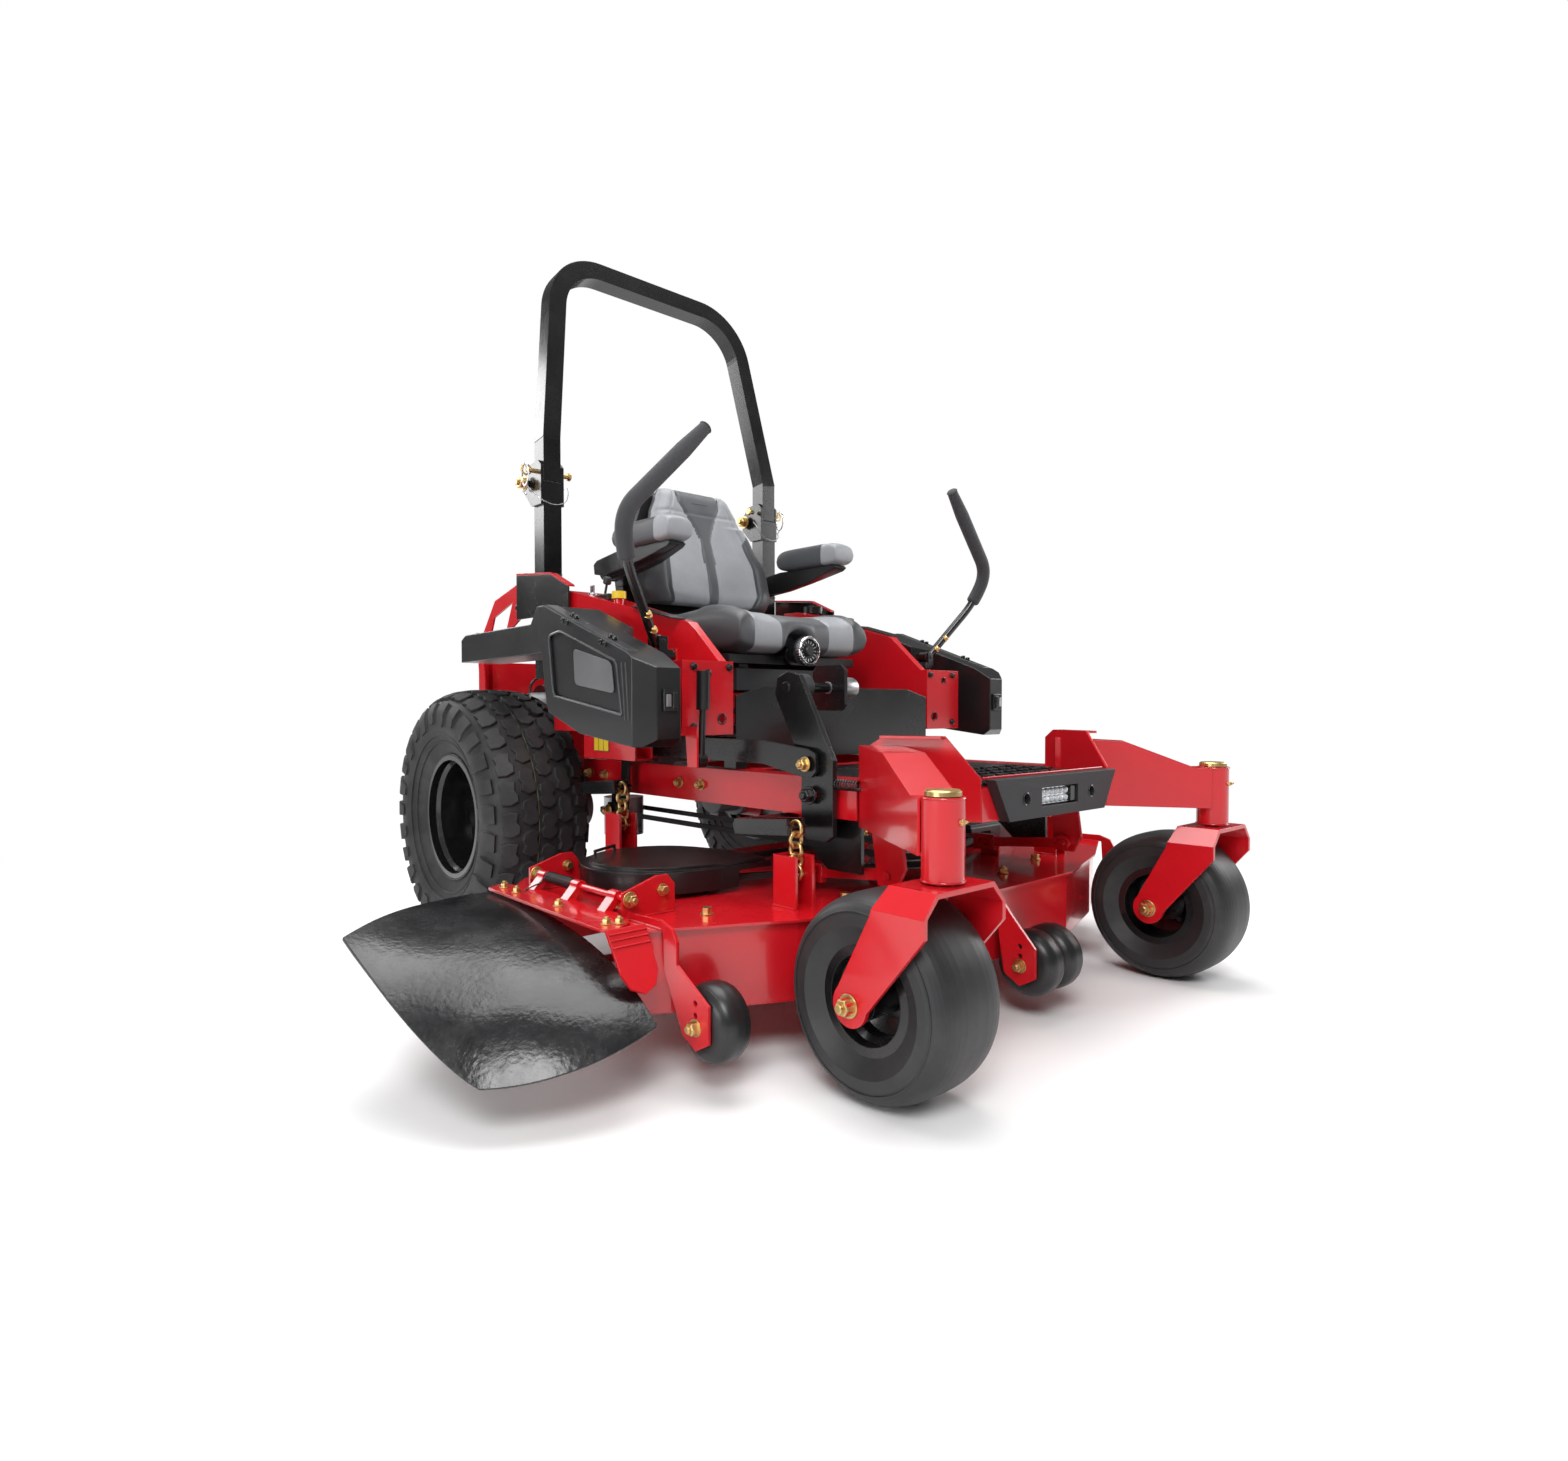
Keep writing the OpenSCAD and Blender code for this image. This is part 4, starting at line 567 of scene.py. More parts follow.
def rear_tyre(s, side):
    carcass = tyre_profile(REAR_R - LUG, REAR_RIM, REAR_HALF - 5)
    inner = [(max(REAR_RIM, r - 8), z * 0.9) for r, z in reversed(carcass)]
    centre, axis = (s * REAR_X, 0, REAR_R), (s, 0, 0)
    shape = Shape()
    shape.lathe(carcass + inner, centre, axis, n=120)
    # Rings moulded on the side wall
    for r, along in ((196, 118), (214, 127), (REAR_RIM + 9, 104)):
        for e in (-1, 1):
            shape.ring(Vector(centre) + Vector((s * e * along, 0, 0)), axis, r, 2.6, n=96, k=8)
    # Arc length from the crown along the profile, for laying out the tread
    crown = len(carcass) // 2
    table = [(0.0, carcass[crown])]
    walked = 0.0
    for a, b in zip(carcass[crown:], carcass[crown + 1:]):
        walked += math.hypot(b[0] - a[0], b[1] - a[1])
        table.append((walked, b))

    def on_profile(p, lift):
        q = abs(p)
        for (d0, a), (d1, b) in zip(table, table[1:]):
            if q <= d1:
                k = (q - d0) / max(d1 - d0, 1e-6)
                r, z = a[0] + (b[0] - a[0]) * k, a[1] + (b[1] - a[1]) * k
                t = Vector((b[0] - a[0], b[1] - a[1])).normalized()
                out = Vector((-t.y, t.x))
                if out.dot(Vector((r - 235, z))) < 0:
                    out = -out
                r, z = r + out.x * lift, z + out.y * lift
                return r, z if p < 0 else -z
        return table[-1][1]

    pitch_count = 27
    pitch = 360.0 / pitch_count
    m = axis_matrix(axis)
    c = Vector(centre)

    def place(p, along, lift):
        r, z = on_profile(p, lift)
        a = math.radians(along)
        return c + m @ Vector((r * math.cos(a), r * math.sin(a), z))

    # Blocks as outlines of (across, share of a pitch)
    middle_block = [(-19, -0.30), (-4, -0.42), (14, -0.36), (21, -0.16), (12, -0.02), (20, 0.14), (17, 0.34),
                    (2, 0.42), (-15, 0.36), (-22, 0.14), (-12, 0.0), (-21, -0.14)]
    inner_block = [(-17, -0.36), (2, -0.44), (18, -0.30), (13, -0.08), (20, 0.08), (17, 0.32), (-3, 0.43),
                   (-19, 0.32), (-13, 0.10), (-20, -0.10)]
    outer_block = [(-20, -0.30), (-2, -0.42), (17, -0.38), (20, -0.06), (15, 0.06), (20, 0.30), (4, 0.40),
                   (-17, 0.36), (-13, 0.06), (-21, -0.08)]

    def block(outline, across, along, twist=1):
        levels = ((1.04, 1.02, -1.0), (1.0, 1.0, LUG - 1.4), (0.92, 0.93, LUG))
        shape.loops([[place(across + p * wide, along + k * pitch * twist * long, lift) for p, k in outline]
                     for wide, long, lift in levels])

    def shoulder(e, along, long_one):
        """A shoulder lug in strips that follow the profile down the side wall."""
        wide = 0.36 if long_one else 0.30
        cuts = [(126, wide * 0.9), (140, wide), (156, wide * 0.96), (172, wide * 0.88),
                (188 if long_one else 178, wide * 0.6)]
        rings = []
        for q, w in cuts:
            skew = (q - 126) * 0.0016
            drop = LUG if q < 170 else LUG * 0.6
            low = [place(e * q, along + (k + skew) * pitch, -1.5) for k in (-w, w)]
            high = [place(e * q, along + (k + skew) * pitch, drop) for k in (-w * 0.9, w * 0.9)]
            rings.append([low[0], high[0], high[1], low[1]])
        shape.loops(rings)

    for i in range(pitch_count):
        a = i * pitch
        wobble = (random.random() - 0.5) * 0.06 * pitch
        block(middle_block, 0, a + wobble)
        for e in (-1, 1):
            block([(p * e, k) for p, k in inner_block], e * 46, a + pitch * 0.5 + wobble, twist=e)
            block([(p * e, k) for p, k in outer_block], e * 93, a + e * pitch * 0.1 - wobble, twist=e)
            shoulder(e, a + pitch * 0.45, i % 2 == 0)
    obj = shape.make(f"rear_tyre_{side}_tread", f"rear_wheel_{side}", "tyre", smooth=32)
    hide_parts(f"rear_tyre_{side}")
    # Faint moulding line round the tread
    line = Shape()
    line.ring(Vector(centre) + Vector((s * 23, 0, 0)), axis, REAR_R - LUG + 0.6, 1.3, n=120, k=6)
    line.make(f"rear_tyre_{side}_line", f"rear_wheel_{side}", "line")


def rear_wheel_trim(s, side):
    shape = Shape()
    x = s * REAR_X
    # Valve stem, nuts of the rim and the hub cap
    shape.rod((x + s * 6, 0, REAR_R + 112), (x + s * 34, 0, REAR_R + 106), 9, chamfer=1)
    for i in range(5):
        a = math.radians(72 * i + 36)
        shape.bolt((x - s * 15.6, 48 * math.sin(a), REAR_R + 48 * math.cos(a)), (s, 0, 0), 19, nut=True)
    shape.make(f"rear_wheel_{side}_nuts", f"rear_wheel_{side}", "steel", bevel=0.5)
    cap = Shape()
    cap.lathe([(0, 26), (14, 25), (24, 20), (29, 8), (29, -4)], (x - s * 16, 0, REAR_R), (s, 0, 0), closed=False)
    cap.make(f"rear_wheel_{side}_cap", f"rear_wheel_{side}", "black")


def caster_trim(s, side):
    x, y, z = s * CASTER_X, CASTER_Y, CASTER_R
    body = f"caster_wheel_{side}"
    shape = Shape()
    for along in (-1, 1):
        # Raised bands of the side wall and fine grooves by the shoulder
        for r, off, wire in ((100, 66.5, 2.0), (120, 77.5, 1.6), (139, 80.5, 1.4)):
            shape.ring((x + along * off, y, z), (1, 0, 0), r, wire, n=96, k=8)
    shape.make(f"caster_tyre_{side}_bands", body, "caster_tyre")
    hub = Shape()
    for along in (-1, 1):
        hub.ring((x + along * 70, y, z), (1, 0, 0), 24, 4, n=40)
        for i in range(4):
            a = math.radians(90 * i + 45)
            hub.bolt((x + along * 4.5, y + 46 * math.cos(a), z + 46 * math.sin(a)), (along, 0, 0), 13)
    hub.rod((x + s * 12, y, z + 60), (x + s * 40, y, z + 57), 8, chamfer=1)
    hub.make(f"caster_hub_{side}_parts", body, "black", bevel=0.5)
    fork = Shape()
    for e in (-1, 1):
        fork.bolt((x + e * 100.4, y, z), (e, 0, 0), 25, nut=True)
    fork.make(f"caster_axle_{side}_bolt", f"caster_{side}", "zinc", bevel=0.5)
    top = Shape()
    top.lathe([(0, 9), (25, 9), (28, 6.5), (28.5, 0)], (x, PIVOT_Y, 484.3), (0, 0, 1), closed=False)
    top.make(f"caster_pivot_{side}_cap", f"caster_{side}", "zinc")
    # Grease fitting on the barrel
    grease(f"caster_barrel_{side}_nipple", "chassis", (x, PIVOT_Y - 33, 446), (0, -1, 0.2))


def grease(name, body, place, axis):
    p, v = Vector(place), Vector(axis).normalized()
    shape = Shape()
    shape.bolt(p, v, 9, washer=False)
    shape.rod(p + v * 5, p + v * 10, 5.5, 14, chamfer=0.8)
    shape.rod(p + v * 10, p + v * 13, 3.6, 14, chamfer=0.8)
    return shape.make(name, body, "zinc")


for s, side in SIDES:
    rear_tyre(s, side)
    rear_wheel_trim(s, side)
    caster_trim(s, side)

# ------------------------------------------------------------------ seat
FALL = 0.3
CUSHION_HALF = 231
CUSHION_Y0, CUSHION_Y1 = -688.0, -262.0
PANEL_IN, PANEL_OUT = 84.0, 180.0
BACK_LOW, BACK_RISE = 884, 340
BACK_OUTLINE = [(884, 206), (925, 226), (1000, 222), (1066, 190), (1150, 148), (1200, 124), (1226, 108)]


def pillow(name, looks, width, top, bottom, edge, zone, place, nx=96, ny=84):
    """A crowned closed form. width gives its half width along v, top and bottom its heights for (u, v) in -1..1.
    place turns (across, v, height) into a point, and zone picks one of the looks for (u, v)."""
    bm = bmesh.new()

    def spacing(n):
        return [math.sin(math.pi / 2 * (2 * i / n - 1)) * 0.35 + (2 * i / n - 1) * 0.65 for i in range(n + 1)]

    us, vs = spacing(nx), spacing(ny)
    grids = []
    for upper in (True, False):
        rows = []
        for v in vs:
            row = []
            for u in us:
                fall = max(0.0, (1 - abs(u) ** edge)) ** FALL * max(0.0, (1 - abs(v) ** edge)) ** FALL
                mid = top(u, v) * 0.5 + bottom(u, v) * 0.5
                h = mid + ((top(u, v) if upper else bottom(u, v)) - mid) * fall
                row.append(bm.verts.new(place(u * width(v), v, h)))
            rows.append(row)
        grids.append(rows)
    for g, rows in enumerate(grids):
        for j in range(ny):
            for i in range(nx):
                quad = [rows[j][i], rows[j][i + 1], rows[j + 1][i + 1], rows[j + 1][i]]
                f = bm.faces.new(quad if g == 0 else quad[::-1])
                f.smooth = True
                u, v = (us[i] + us[i + 1]) / 2, (vs[j] + vs[j + 1]) / 2
                f.material_index = zone(u, v, g == 0)
    bmesh.ops.remove_doubles(bm, verts=bm.verts, dist=0.05)
    bmesh.ops.recalc_face_normals(bm, faces=bm.faces)
    for v in bm.verts:
        v.co = AXLE + v.co * MM
    mesh = bpy.data.meshes.new(name)
    bm.to_mesh(mesh)
    bm.free()
    for look in looks:
        mesh.materials.append(M[look])
    obj = bpy.data.objects.new(name, mesh)
    bpy.context.scene.collection.objects.link(obj)
    return obj


def pad_on(obj, body, node):
    """Smooths a pad, hangs it on the body it rides on and hides the node it stands for."""
    mod = obj.modifiers.new("smooth", "SUBSURF")
    mod.levels = mod.render_levels = 1
    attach(obj, body)
    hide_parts(node)


def settle(obj, cap=4.0, pressure=4.0, frames=20):
    """Puffs a pad a little with cloth pressure, so that it gains the creases and fullness of sewn vinyl."""
    scene = bpy.context.scene
    rest = [v.co.copy() for v in obj.data.vertices]
    mod = obj.modifiers.new("cloth", "CLOTH")
    mod.settings.quality = 5
    mod.settings.mass = 0.3
    mod.settings.use_pressure = True
    mod.settings.uniform_pressure_force = pressure
    mod.settings.effector_weights.gravity = 0
    mod.settings.tension_stiffness = mod.settings.compression_stiffness = 25
    mod.settings.bending_stiffness = 2.5
    scene.frame_start, scene.frame_end = 1, frames
    for f in range(1, frames + 1):
        scene.frame_set(f)
    shaped = obj.evaluated_get(bpy.context.evaluated_depsgraph_get())
    moved = [v.co.copy() for v in shaped.data.vertices]
    obj.modifiers.remove(mod)
    for v, a, b in zip(obj.data.vertices, rest, moved):
        d = b - a
        if d.length > cap * MM:
            d = d.normalized() * cap * MM
        v.co = a + d
    scene.frame_set(1)


def groove(distance, depth, wide):
    return depth * math.exp(-(distance / wide) ** 2)


def seat_half(v):
    """Half width of the cushion from its front (v = -1) to its rear."""
    return CUSHION_HALF - 16 * max(0.0, -v - 0.45) ** 1.5 - 16 * max(0.0, v - 0.4)


def cushion_y(v):
    return CUSHION_Y0 + (CUSHION_Y1 - CUSHION_Y0) * (v + 1) / 2


def cushion_top(u, v):
    x = abs(u) * CUSHION_HALF
    h = 838 + 12 * math.exp(-((v + 0.35) / 0.45) ** 2) + 16 * max(0.0, v - 0.35)
    h += 14 * math.exp(-((x - 200) / 34) ** 2) - 5 * math.exp(-(x / 90) ** 2)
    h -= groove(x - PANEL_OUT, 7, 5) + groove(x - PANEL_IN, 4.5, 4)
    if x < PANEL_OUT:
        h -= groove(cushion_y(v) + 470, 4, 4.5) + groove(cushion_y(v) + 390, 4, 4.5)
    h -= 26 * max(0.0, -v - 0.72) ** 1.2
    return h + 1.6 * mnoise.noise(Vector((u * 4.1, v * 3.7, 1.7)))


def cushion_bottom(u, v):
    h = 748.0
    x = u * CUSHION_HALF
    near = math.sqrt(max(0.0, 50 ** 2 - (x + 21) ** 2))
    if cushion_y(v) < -622 and near > 0:
        h = max(h, 752 + near)
    return h


def cushion_zone(u, v, upper):
    x = abs(u) * CUSHION_HALF
    if not upper and v > -0.85:
        return 2
    if x < PANEL_IN:
        return 1
    return 0 if x < PANEL_OUT else 2


def back_height(v):
    return BACK_LOW + (v + 1) / 2 * BACK_RISE


def back_point(x, v, depth):
    """The backrest leans; v runs up its front face and depth is measured forwards from its back."""
    up = back_height(v)
    lean = (up - BACK_LOW) * 0.27
    return (x, -256 + lean - depth, up + depth * 0.10)


def back_half(v):
    up = back_height(v)
    for (a, p), (b, q) in zip(BACK_OUTLINE, BACK_OUTLINE[1:]):
        if up <= b:
            k = (up - a) / (b - a)
            k = k * k * (3 - 2 * k) * 0.5 + k * 0.5
            return p + (q - p) * k
    return BACK_OUTLINE[-1][1]


def back_centre(v):
    """Half width of the dark centre column: narrow low down, spreading at the top."""
    up = back_height(v)
    return 17 + 3 * (v + 1) + 50 * max(0.0, min(1.0, (up - 1075) / 105.0)) ** 1.2


def back_top(u, v):
    x = abs(u) * back_half(v)
    bolster = 14 * math.exp(-((abs(u) - 0.8) / 0.2) ** 2)
    h = 66 + 6 * math.exp(-((v + 0.35) / 0.5) ** 2) + bolster * (0.4 if v > 0.4 else 1)
    h -= groove(x - back_centre(v), 6, 4) + groove(abs(u) * 225 - 158, 7 if v < 0.35 else 4, 5)
    if x < back_centre(v):
        h += 2.5
    h -= groove(v - 0.56, 4, 0.02)
    return h + 1.4 * mnoise.noise(Vector((u * 3.3, v * 4.1, 9.2)))


def back_zone(u, v, upper):
    x = abs(u) * back_half(v)
    if not upper:
        return 2
    if x < back_centre(v):
        return 1
    return 0 if abs(u) * 225 < 150 or v > 0.12 + (abs(u) * 225 - 150) * 0.004 else 2


def stitches(shape, points, step=7.0, long=4.0, wire=1.8):
    """Short threads laid along a line."""
    walked = 0.0
    for a, b in zip(points, points[1:]):
        a, b = Vector(a), Vector(b)
        length = (b - a).length
        while walked < length:
            p = a.lerp(b, walked / length)
            q = p + (b - a).normalized() * long
            shape.tube([p, q], wire, n=6)
            walked += step
        walked -= length


def seat():
    looks = ["vinyl_light", "vinyl_mid", "vinyl_dark"]
    cushion = pillow("seat_cushion_cover", looks, seat_half, cushion_top, cushion_bottom, 12, cushion_zone,
                     lambda x, v, h: Vector((x, cushion_y(v), h)))
    back = pillow("seat_backrest_cover", looks, back_half, back_top, lambda u, v: 2.0, 9, back_zone,
                  lambda x, v, h: Vector(back_point(x, v, h)))
    for obj, node in ((cushion, "seat_cushion"), (back, "seat_backrest")):
        settle(obj)
        pad_on(obj, "seat", node)

    seams, thread = Shape(), Shape()
    for e in (-1, 1):
        for x, size in ((PANEL_OUT, 4.2), (PANEL_IN, 3.0)):
            line = [(e * x, cushion_y(v / 20), cushion_top(x / CUSHION_HALF, v / 20) + 2.2) for v in range(-16, 18)]
            seams.tube(line, size, n=8)
            stitches(thread, [(p[0] + e * 6, p[1], p[2] + 1.6) for p in line])
        line = []
        for k in range(-17, 19):
            v = k / 20
            x = back_centre(v)
            line.append(back_point(e * x, v, back_top(x / back_half(v), v) + 2.2))
        seams.tube(line, 3.4, n=8)
        stitches(thread, [(p[0] + e * 6, p[1] - 1.0, p[2]) for p in line])
    seams.make("seat_seams", "seat", "vinyl_dark")
    thread.make("seat_threads", "seat", "thread")
    # Blank strip near the top
    strip, v = Shape(), 0.74
    strip.tube([back_point(x, v, back_top(x / back_half(v), v) + 2.5) for x in (-26 + 6.5 * k for k in range(9))],
               3.6, n=8)
    strip.make("seat_plain_patch", "seat", "vinyl_dark")


def armrest(s, side):
    body = f"arm_{side}"
    # Bracket: a moulded wedge under the pad
    bracket = Shape()
    outline = [(-188, 957), (-184, 984), (-200, 1002), (-300, 1015), (-524, 1015), (-532, 1008), (-520, 1000),
               (-430, 974), (-330, 958), (-235, 950)]
    for x0, x1, raised in ((258, 282, 0), (282, 306, 9)):
        pts = [(s * x0, y, z + (0 if z > 990 else raised)) for y, z in outline]
        bracket.plate(pts, (s * (x1 - x0), 0, 0))
    bracket.rod((s * 250, -210, 975), (s * 290, -210, 975), 50, 40, chamfer=3)
    obj = bracket.make(f"armrest_{side}_bracket", body, "plastic", bevel=3.0)

    def half(v):
        return 41 - 9 * max(0.0, -v - 0.5) ** 1.4 - 5 * max(0.0, v - 0.6)

    def top(u, v):
        return 1079 - 6 * abs(u) ** 2 - 6 * max(0.0, -v - 0.55) ** 1.2 - groove(v + 0.62, 2.5, 0.05)

    pad = pillow(f"armrest_{side}_pad", ["vinyl_dark", "vinyl_light"], half, top, lambda u, v: 1015.5, 8,
                 lambda u, v, upper: 1 if v < -0.55 else 0,
                 lambda x, v, h: Vector((s * 284 + x, -423 + v * 122, h)), 40, 64)
    pad_on(pad, body, f"armrest_{side}")


def dial():
    """Ride dial: bright knurled rim round a black face with plain ticks."""
    x, z = -21, 752
    rim = Shape()
    outline = [(35, 0), (36, 4), (36, 20), (34, 25), (31, 26), (29.5, 23), (29.5, 0)]
    rim.lathe(outline, (x, -694, z), (0, -1, 0), n=72)
    for i in range(36):
        a = math.radians(10 * i)
        c, q = math.cos(a), math.sin(a)
        rim.rod((x + 35.4 * c, -716, z + 35.4 * q), (x + 35.4 * c, -698, z + 35.4 * q), 2.6, 8)
    obj = rim.make("ride_dial_rim", "dial", "chrome", smooth=50)
    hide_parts("ride_knob")
    face = Shape()
    face.rod((x, -668, z), (x, -712, z), 58, 48, chamfer=2)
    face.rod((x, -630, z), (x, -668, z), 14, 24)
    face.rod((x, -711, z), (x, -719.5, z), 26, 32, chamfer=2)
    face.make("ride_dial_face", "dial", "plastic")
    ticks = Shape()
    for i in range(16):
        a = math.radians(22.5 * i)
        c, q = math.cos(a), math.sin(a)
        ticks.rod((x + 19 * c, -712.4, z + 19 * q), (x + 26 * c, -712.4, z + 26 * q), 1.8, 6)
    ticks.make("ride_dial_ticks", "dial", "white")


seat()
for s, side in SIDES:
    armrest(s, side)
dial()

# ------------------------------------------------------------------ control levers


def lever(s, side):
    body = f"control_{side}"
    route = [mirrored(s, p) for p in ((458, -694, 745), (581, -766, 909), (607, -794, 996), (418, -814, 1192))]
    line = smooth_line(route, 46, 10)
    rod = Shape()
    rod.tube(line, 21, n=24)
    rod.rod(mirrored(s, (456, -708, 756)), mirrored(s, (456, -680, 756)), 27, 32, chamfer=1.5)
    obj = rod.make(f"lever_{side}_rod", body, "black")
    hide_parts(f"lever_{side}")
    # Foam grip from above the first bend to the tip
    start = next(i for i, p in enumerate(line) if p.z > 905)
    part = line[start:]
    dense = []
    for a, b in zip(part, part[1:]):
        dense += [a.lerp(b, k / 3) for k in range(3)]
    dense.append(part[-1])
    first, last = dense[0], dense[-1]
    sizes = []
    for p in dense:
        near = min((p - first).length, (p - last).length)
        sizes.append(36.0 if near > 6 else 27 + 9 * math.sqrt(max(0.0, near / 6)))
    grip = Shape()
    grip.tube(dense, sizes, n=28)
    end = (dense[-1] - dense[-2]).normalized()
    grip.rod(last - end * 2, last + end * 3, 30, 28, chamfer=2.5)
    grip.make(f"lever_{side}_grip", body, "foam", smooth=50)
    # Bolts that clamp the lever to its hub
    bolts = Shape()
    for k in (0.16, 0.34):
        p = Vector(route[0]).lerp(Vector(route[1]), k)
        bolts.bolt(p + Vector((s * 3, -9, 6)), (s * 0.3, -0.8, 0.5), 13)
    bolts.make(f"lever_{side}_bolts", body, "zinc", bevel=0.4)


for s, side in SIDES:
    lever(s, side)

# ------------------------------------------------------------------ deflector
DEFLECTOR = [
    [(-790, -602, 247), (-880, -640, 258), (-1020, -720, 275), (-1130, -802, 253)],
    [(-790, -760, 247), (-900, -800, 262), (-1030, -860, 250), (-1118, -905, 200)],
    [(-792, -1030, 248), (-900, -1080, 258), (-1020, -1050, 190), (-1085, -1040, 110)],
    [(-792, -1172, 128), (-870, -1184, 104), (-968, -1160, 80), (-1042, -1100, 80)],
]


def weights(t):
    return ((1 - t) ** 3, 3 * t * (1 - t) ** 2, 3 * t * t * (1 - t), t ** 3)


def on_sheet(u, v):
    return sum((Vector(p) * a * b for a, row in zip(weights(v), DEFLECTOR) for b, p in zip(weights(u), row)), Vector())


def deflector(n=44, half=3.0):
    """The thick rubber sheet, with slight waves."""
    shape = Shape()
    faces = []
    for e in (1, -1):
        rows = []
        for j in range(n + 1):
            row = []
            for i in range(n + 1):
                u, v = i / n, j / n
                p = on_sheet(u, v)
                du = on_sheet(min(1, u + 0.01), v) - on_sheet(max(0, u - 0.01), v)
                dv = on_sheet(u, min(1, v + 0.01)) - on_sheet(u, max(0, v - 0.01))
                up = dv.cross(du).normalized()
                up = up if up.z > 0 else -up
                wave = 2.2 * mnoise.noise(p * 0.011) * min(1.0, u * 4)
                row.append(shape.bm.verts.new(p + up * (e * half + wave)))
            rows.append(row)
        faces.append(rows)
        for j in range(n):
            for i in range(n):
                shape.face((rows[j][i], rows[j][i + 1], rows[j + 1][i + 1], rows[j + 1][i]))
    a, b = faces
    for k in range(n):
        for j, i, jj, ii in ((0, k, 0, k + 1), (n, k, n, k + 1), (k, 0, k + 1, 0), (k, n, k + 1, n)):
            shape.face((a[j][i], a[jj][ii], b[jj][ii], b[j][i]))
    obj = shape.make("deflector_sheet", "chute", "sheet_rubber", bevel=1.2, smooth=60)
    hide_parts("chute_deflector")


deflector()

# ------------------------------------------------------------------ moulded parts with large radii


def softened(node, body, look, width):
    """A copy of a moulded node with its edges rounded."""
    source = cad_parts[node]
    bm = bmesh.new()
    bm.from_mesh(source.data)
    bm.transform(source.matrix_world)
    bmesh.ops.remove_doubles(bm, verts=bm.verts, dist=0.00002)
    bmesh.ops.dissolve_limit(bm, angle_limit=math.radians(1.0), verts=bm.verts, edges=bm.edges)
    obj = smooth_object(node + "_moulded", bm, look, 30)
    round_edges(obj, width, 3, 20)
    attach(obj, body)
    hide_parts(node)


softened("fuel_tanks", "chassis", "plastic", 9)
softened("belt_covers", "deck", "plastic", 6)
softened("front_bumper", "chassis", "grey", 3.5)


def tank_trim(s, side):
    def across(x, outline):
        return [(s * x, y, z) for y, z in outline]

    # The ribs take the lighter fender look, a painted highlight on the black tank
    ribs = Shape()
    edge = [(-800, 600), (-530, 640), (-510, 770), (-560, 778), (-780, 706), (-800, 600)]
    ribs.tube(smooth_line(across(613.5, edge), 14, 5), 5.5, n=10)
    for low, high in ((-812, -800), (-824, -814)):
        ribs.tube(across(613.5, [(low, 590), (high, 702)]), 4.5, n=8)
    ribs.make(f"tank_{side}_ribs", "chassis", "fender")
    # Long strip with its paired fasteners along the sloping shoulder; the strip's lighter fender look is a painted
    # highlight where light falls on the shoulder
    top = [(-806, 727), (-490, 840), (-452, 840)]
    strip = across(578, top + [(y, z - 3) for y, z in reversed(top)])
    Shape().plate(strip, (s * 28, 0, 0)).make(f"tank_{side}_strip", "chassis", "fender", bevel=1.2)
    fasteners = Shape()
    for y in (-742, -726, -592, -576):
        z = 722 + (y + 816) / 326 * 116
        fasteners.rod((s * 607, y, z - 8), (s * 619, y, z - 8), 11, 20, chamfer=1.5)
        fasteners.rod((s * 592, y, z + 1), (s * 592, y, z + 9), 12, 20, chamfer=1.5)
    fasteners.make(f"tank_{side}_fasteners", "chassis", "black")
    # Latch on the front end
    latch = Shape().block((s * 532, -874, 606), (s * 566, -867, 650)).block((s * 537, -879, 612), (s * 548, -873, 644))
    latch.make(f"tank_{side}_latch", "chassis", "black", bevel=1.5)
    tongue = Shape().block((s * 551, -878, 616), (s * 562, -873, 640))
    tongue.make(f"tank_{side}_latch_tongue", "chassis", "steel", bevel=1)
    # Plain plate with round corners, drawn from the middle of its lower edge
    outline = [(-694, 652), (-618, 662), (-612, 738), (-758, 706), (-770, 642), (-694, 652)]
    plate = Shape().plate(smooth_line(across(609.5, outline), 14, 5)[:-1], (s * 3, 0, 0))
    plate.make(f"tank_{side}_blank_plate", "chassis", "plate", bevel=0.8)
    screws = Shape()
    for y in (-380, -200, -40):
        screws.rod((s * 560, y, 800), (s * 560, y, 806), 16, 20, chamfer=1.5)
    screws.make(f"fender_{side}_screws", "chassis", "black")


def blank_label(s, side):
    """A yellow plate with three empty fields."""
    y0, y1, z0, z1 = -492, -428, 512, 546
    Shape().block((s * 452, y0, z0), (s * 453, y1, z1)).make(f"plain_label_{side}", "chassis", "yellow")
    rim = Shape()
    for a, b in (((y0, z0), (y1, z0)), ((y1, z0), (y1, z1)), ((y1, z1), (y0, z1)), ((y0, z1), (y0, z0)),
                 ((-470, z0), (-470, z1)), ((-449, z0), (-449, z1))):
        rim.tube([(s * 453, *a), (s * 453, *b)], 1.6, n=6)
    rim.make(f"plain_label_{side}_rim", "chassis", "black")


def coil(a, b, radius, wire, count):
    """A helix of wire with so many turns from a to b."""
    a, b = Vector(a), Vector(b)
    m = axis_matrix(b - a)
    steps = count * 14
    angles = [2 * math.pi * count * k / steps for k in range(steps + 1)]
    return Shape().tube([a.lerp(b, k / steps) + m @ Vector((radius * math.cos(t), radius * math.sin(t), 0))
                         for k, t in enumerate(angles)], wire, n=10)


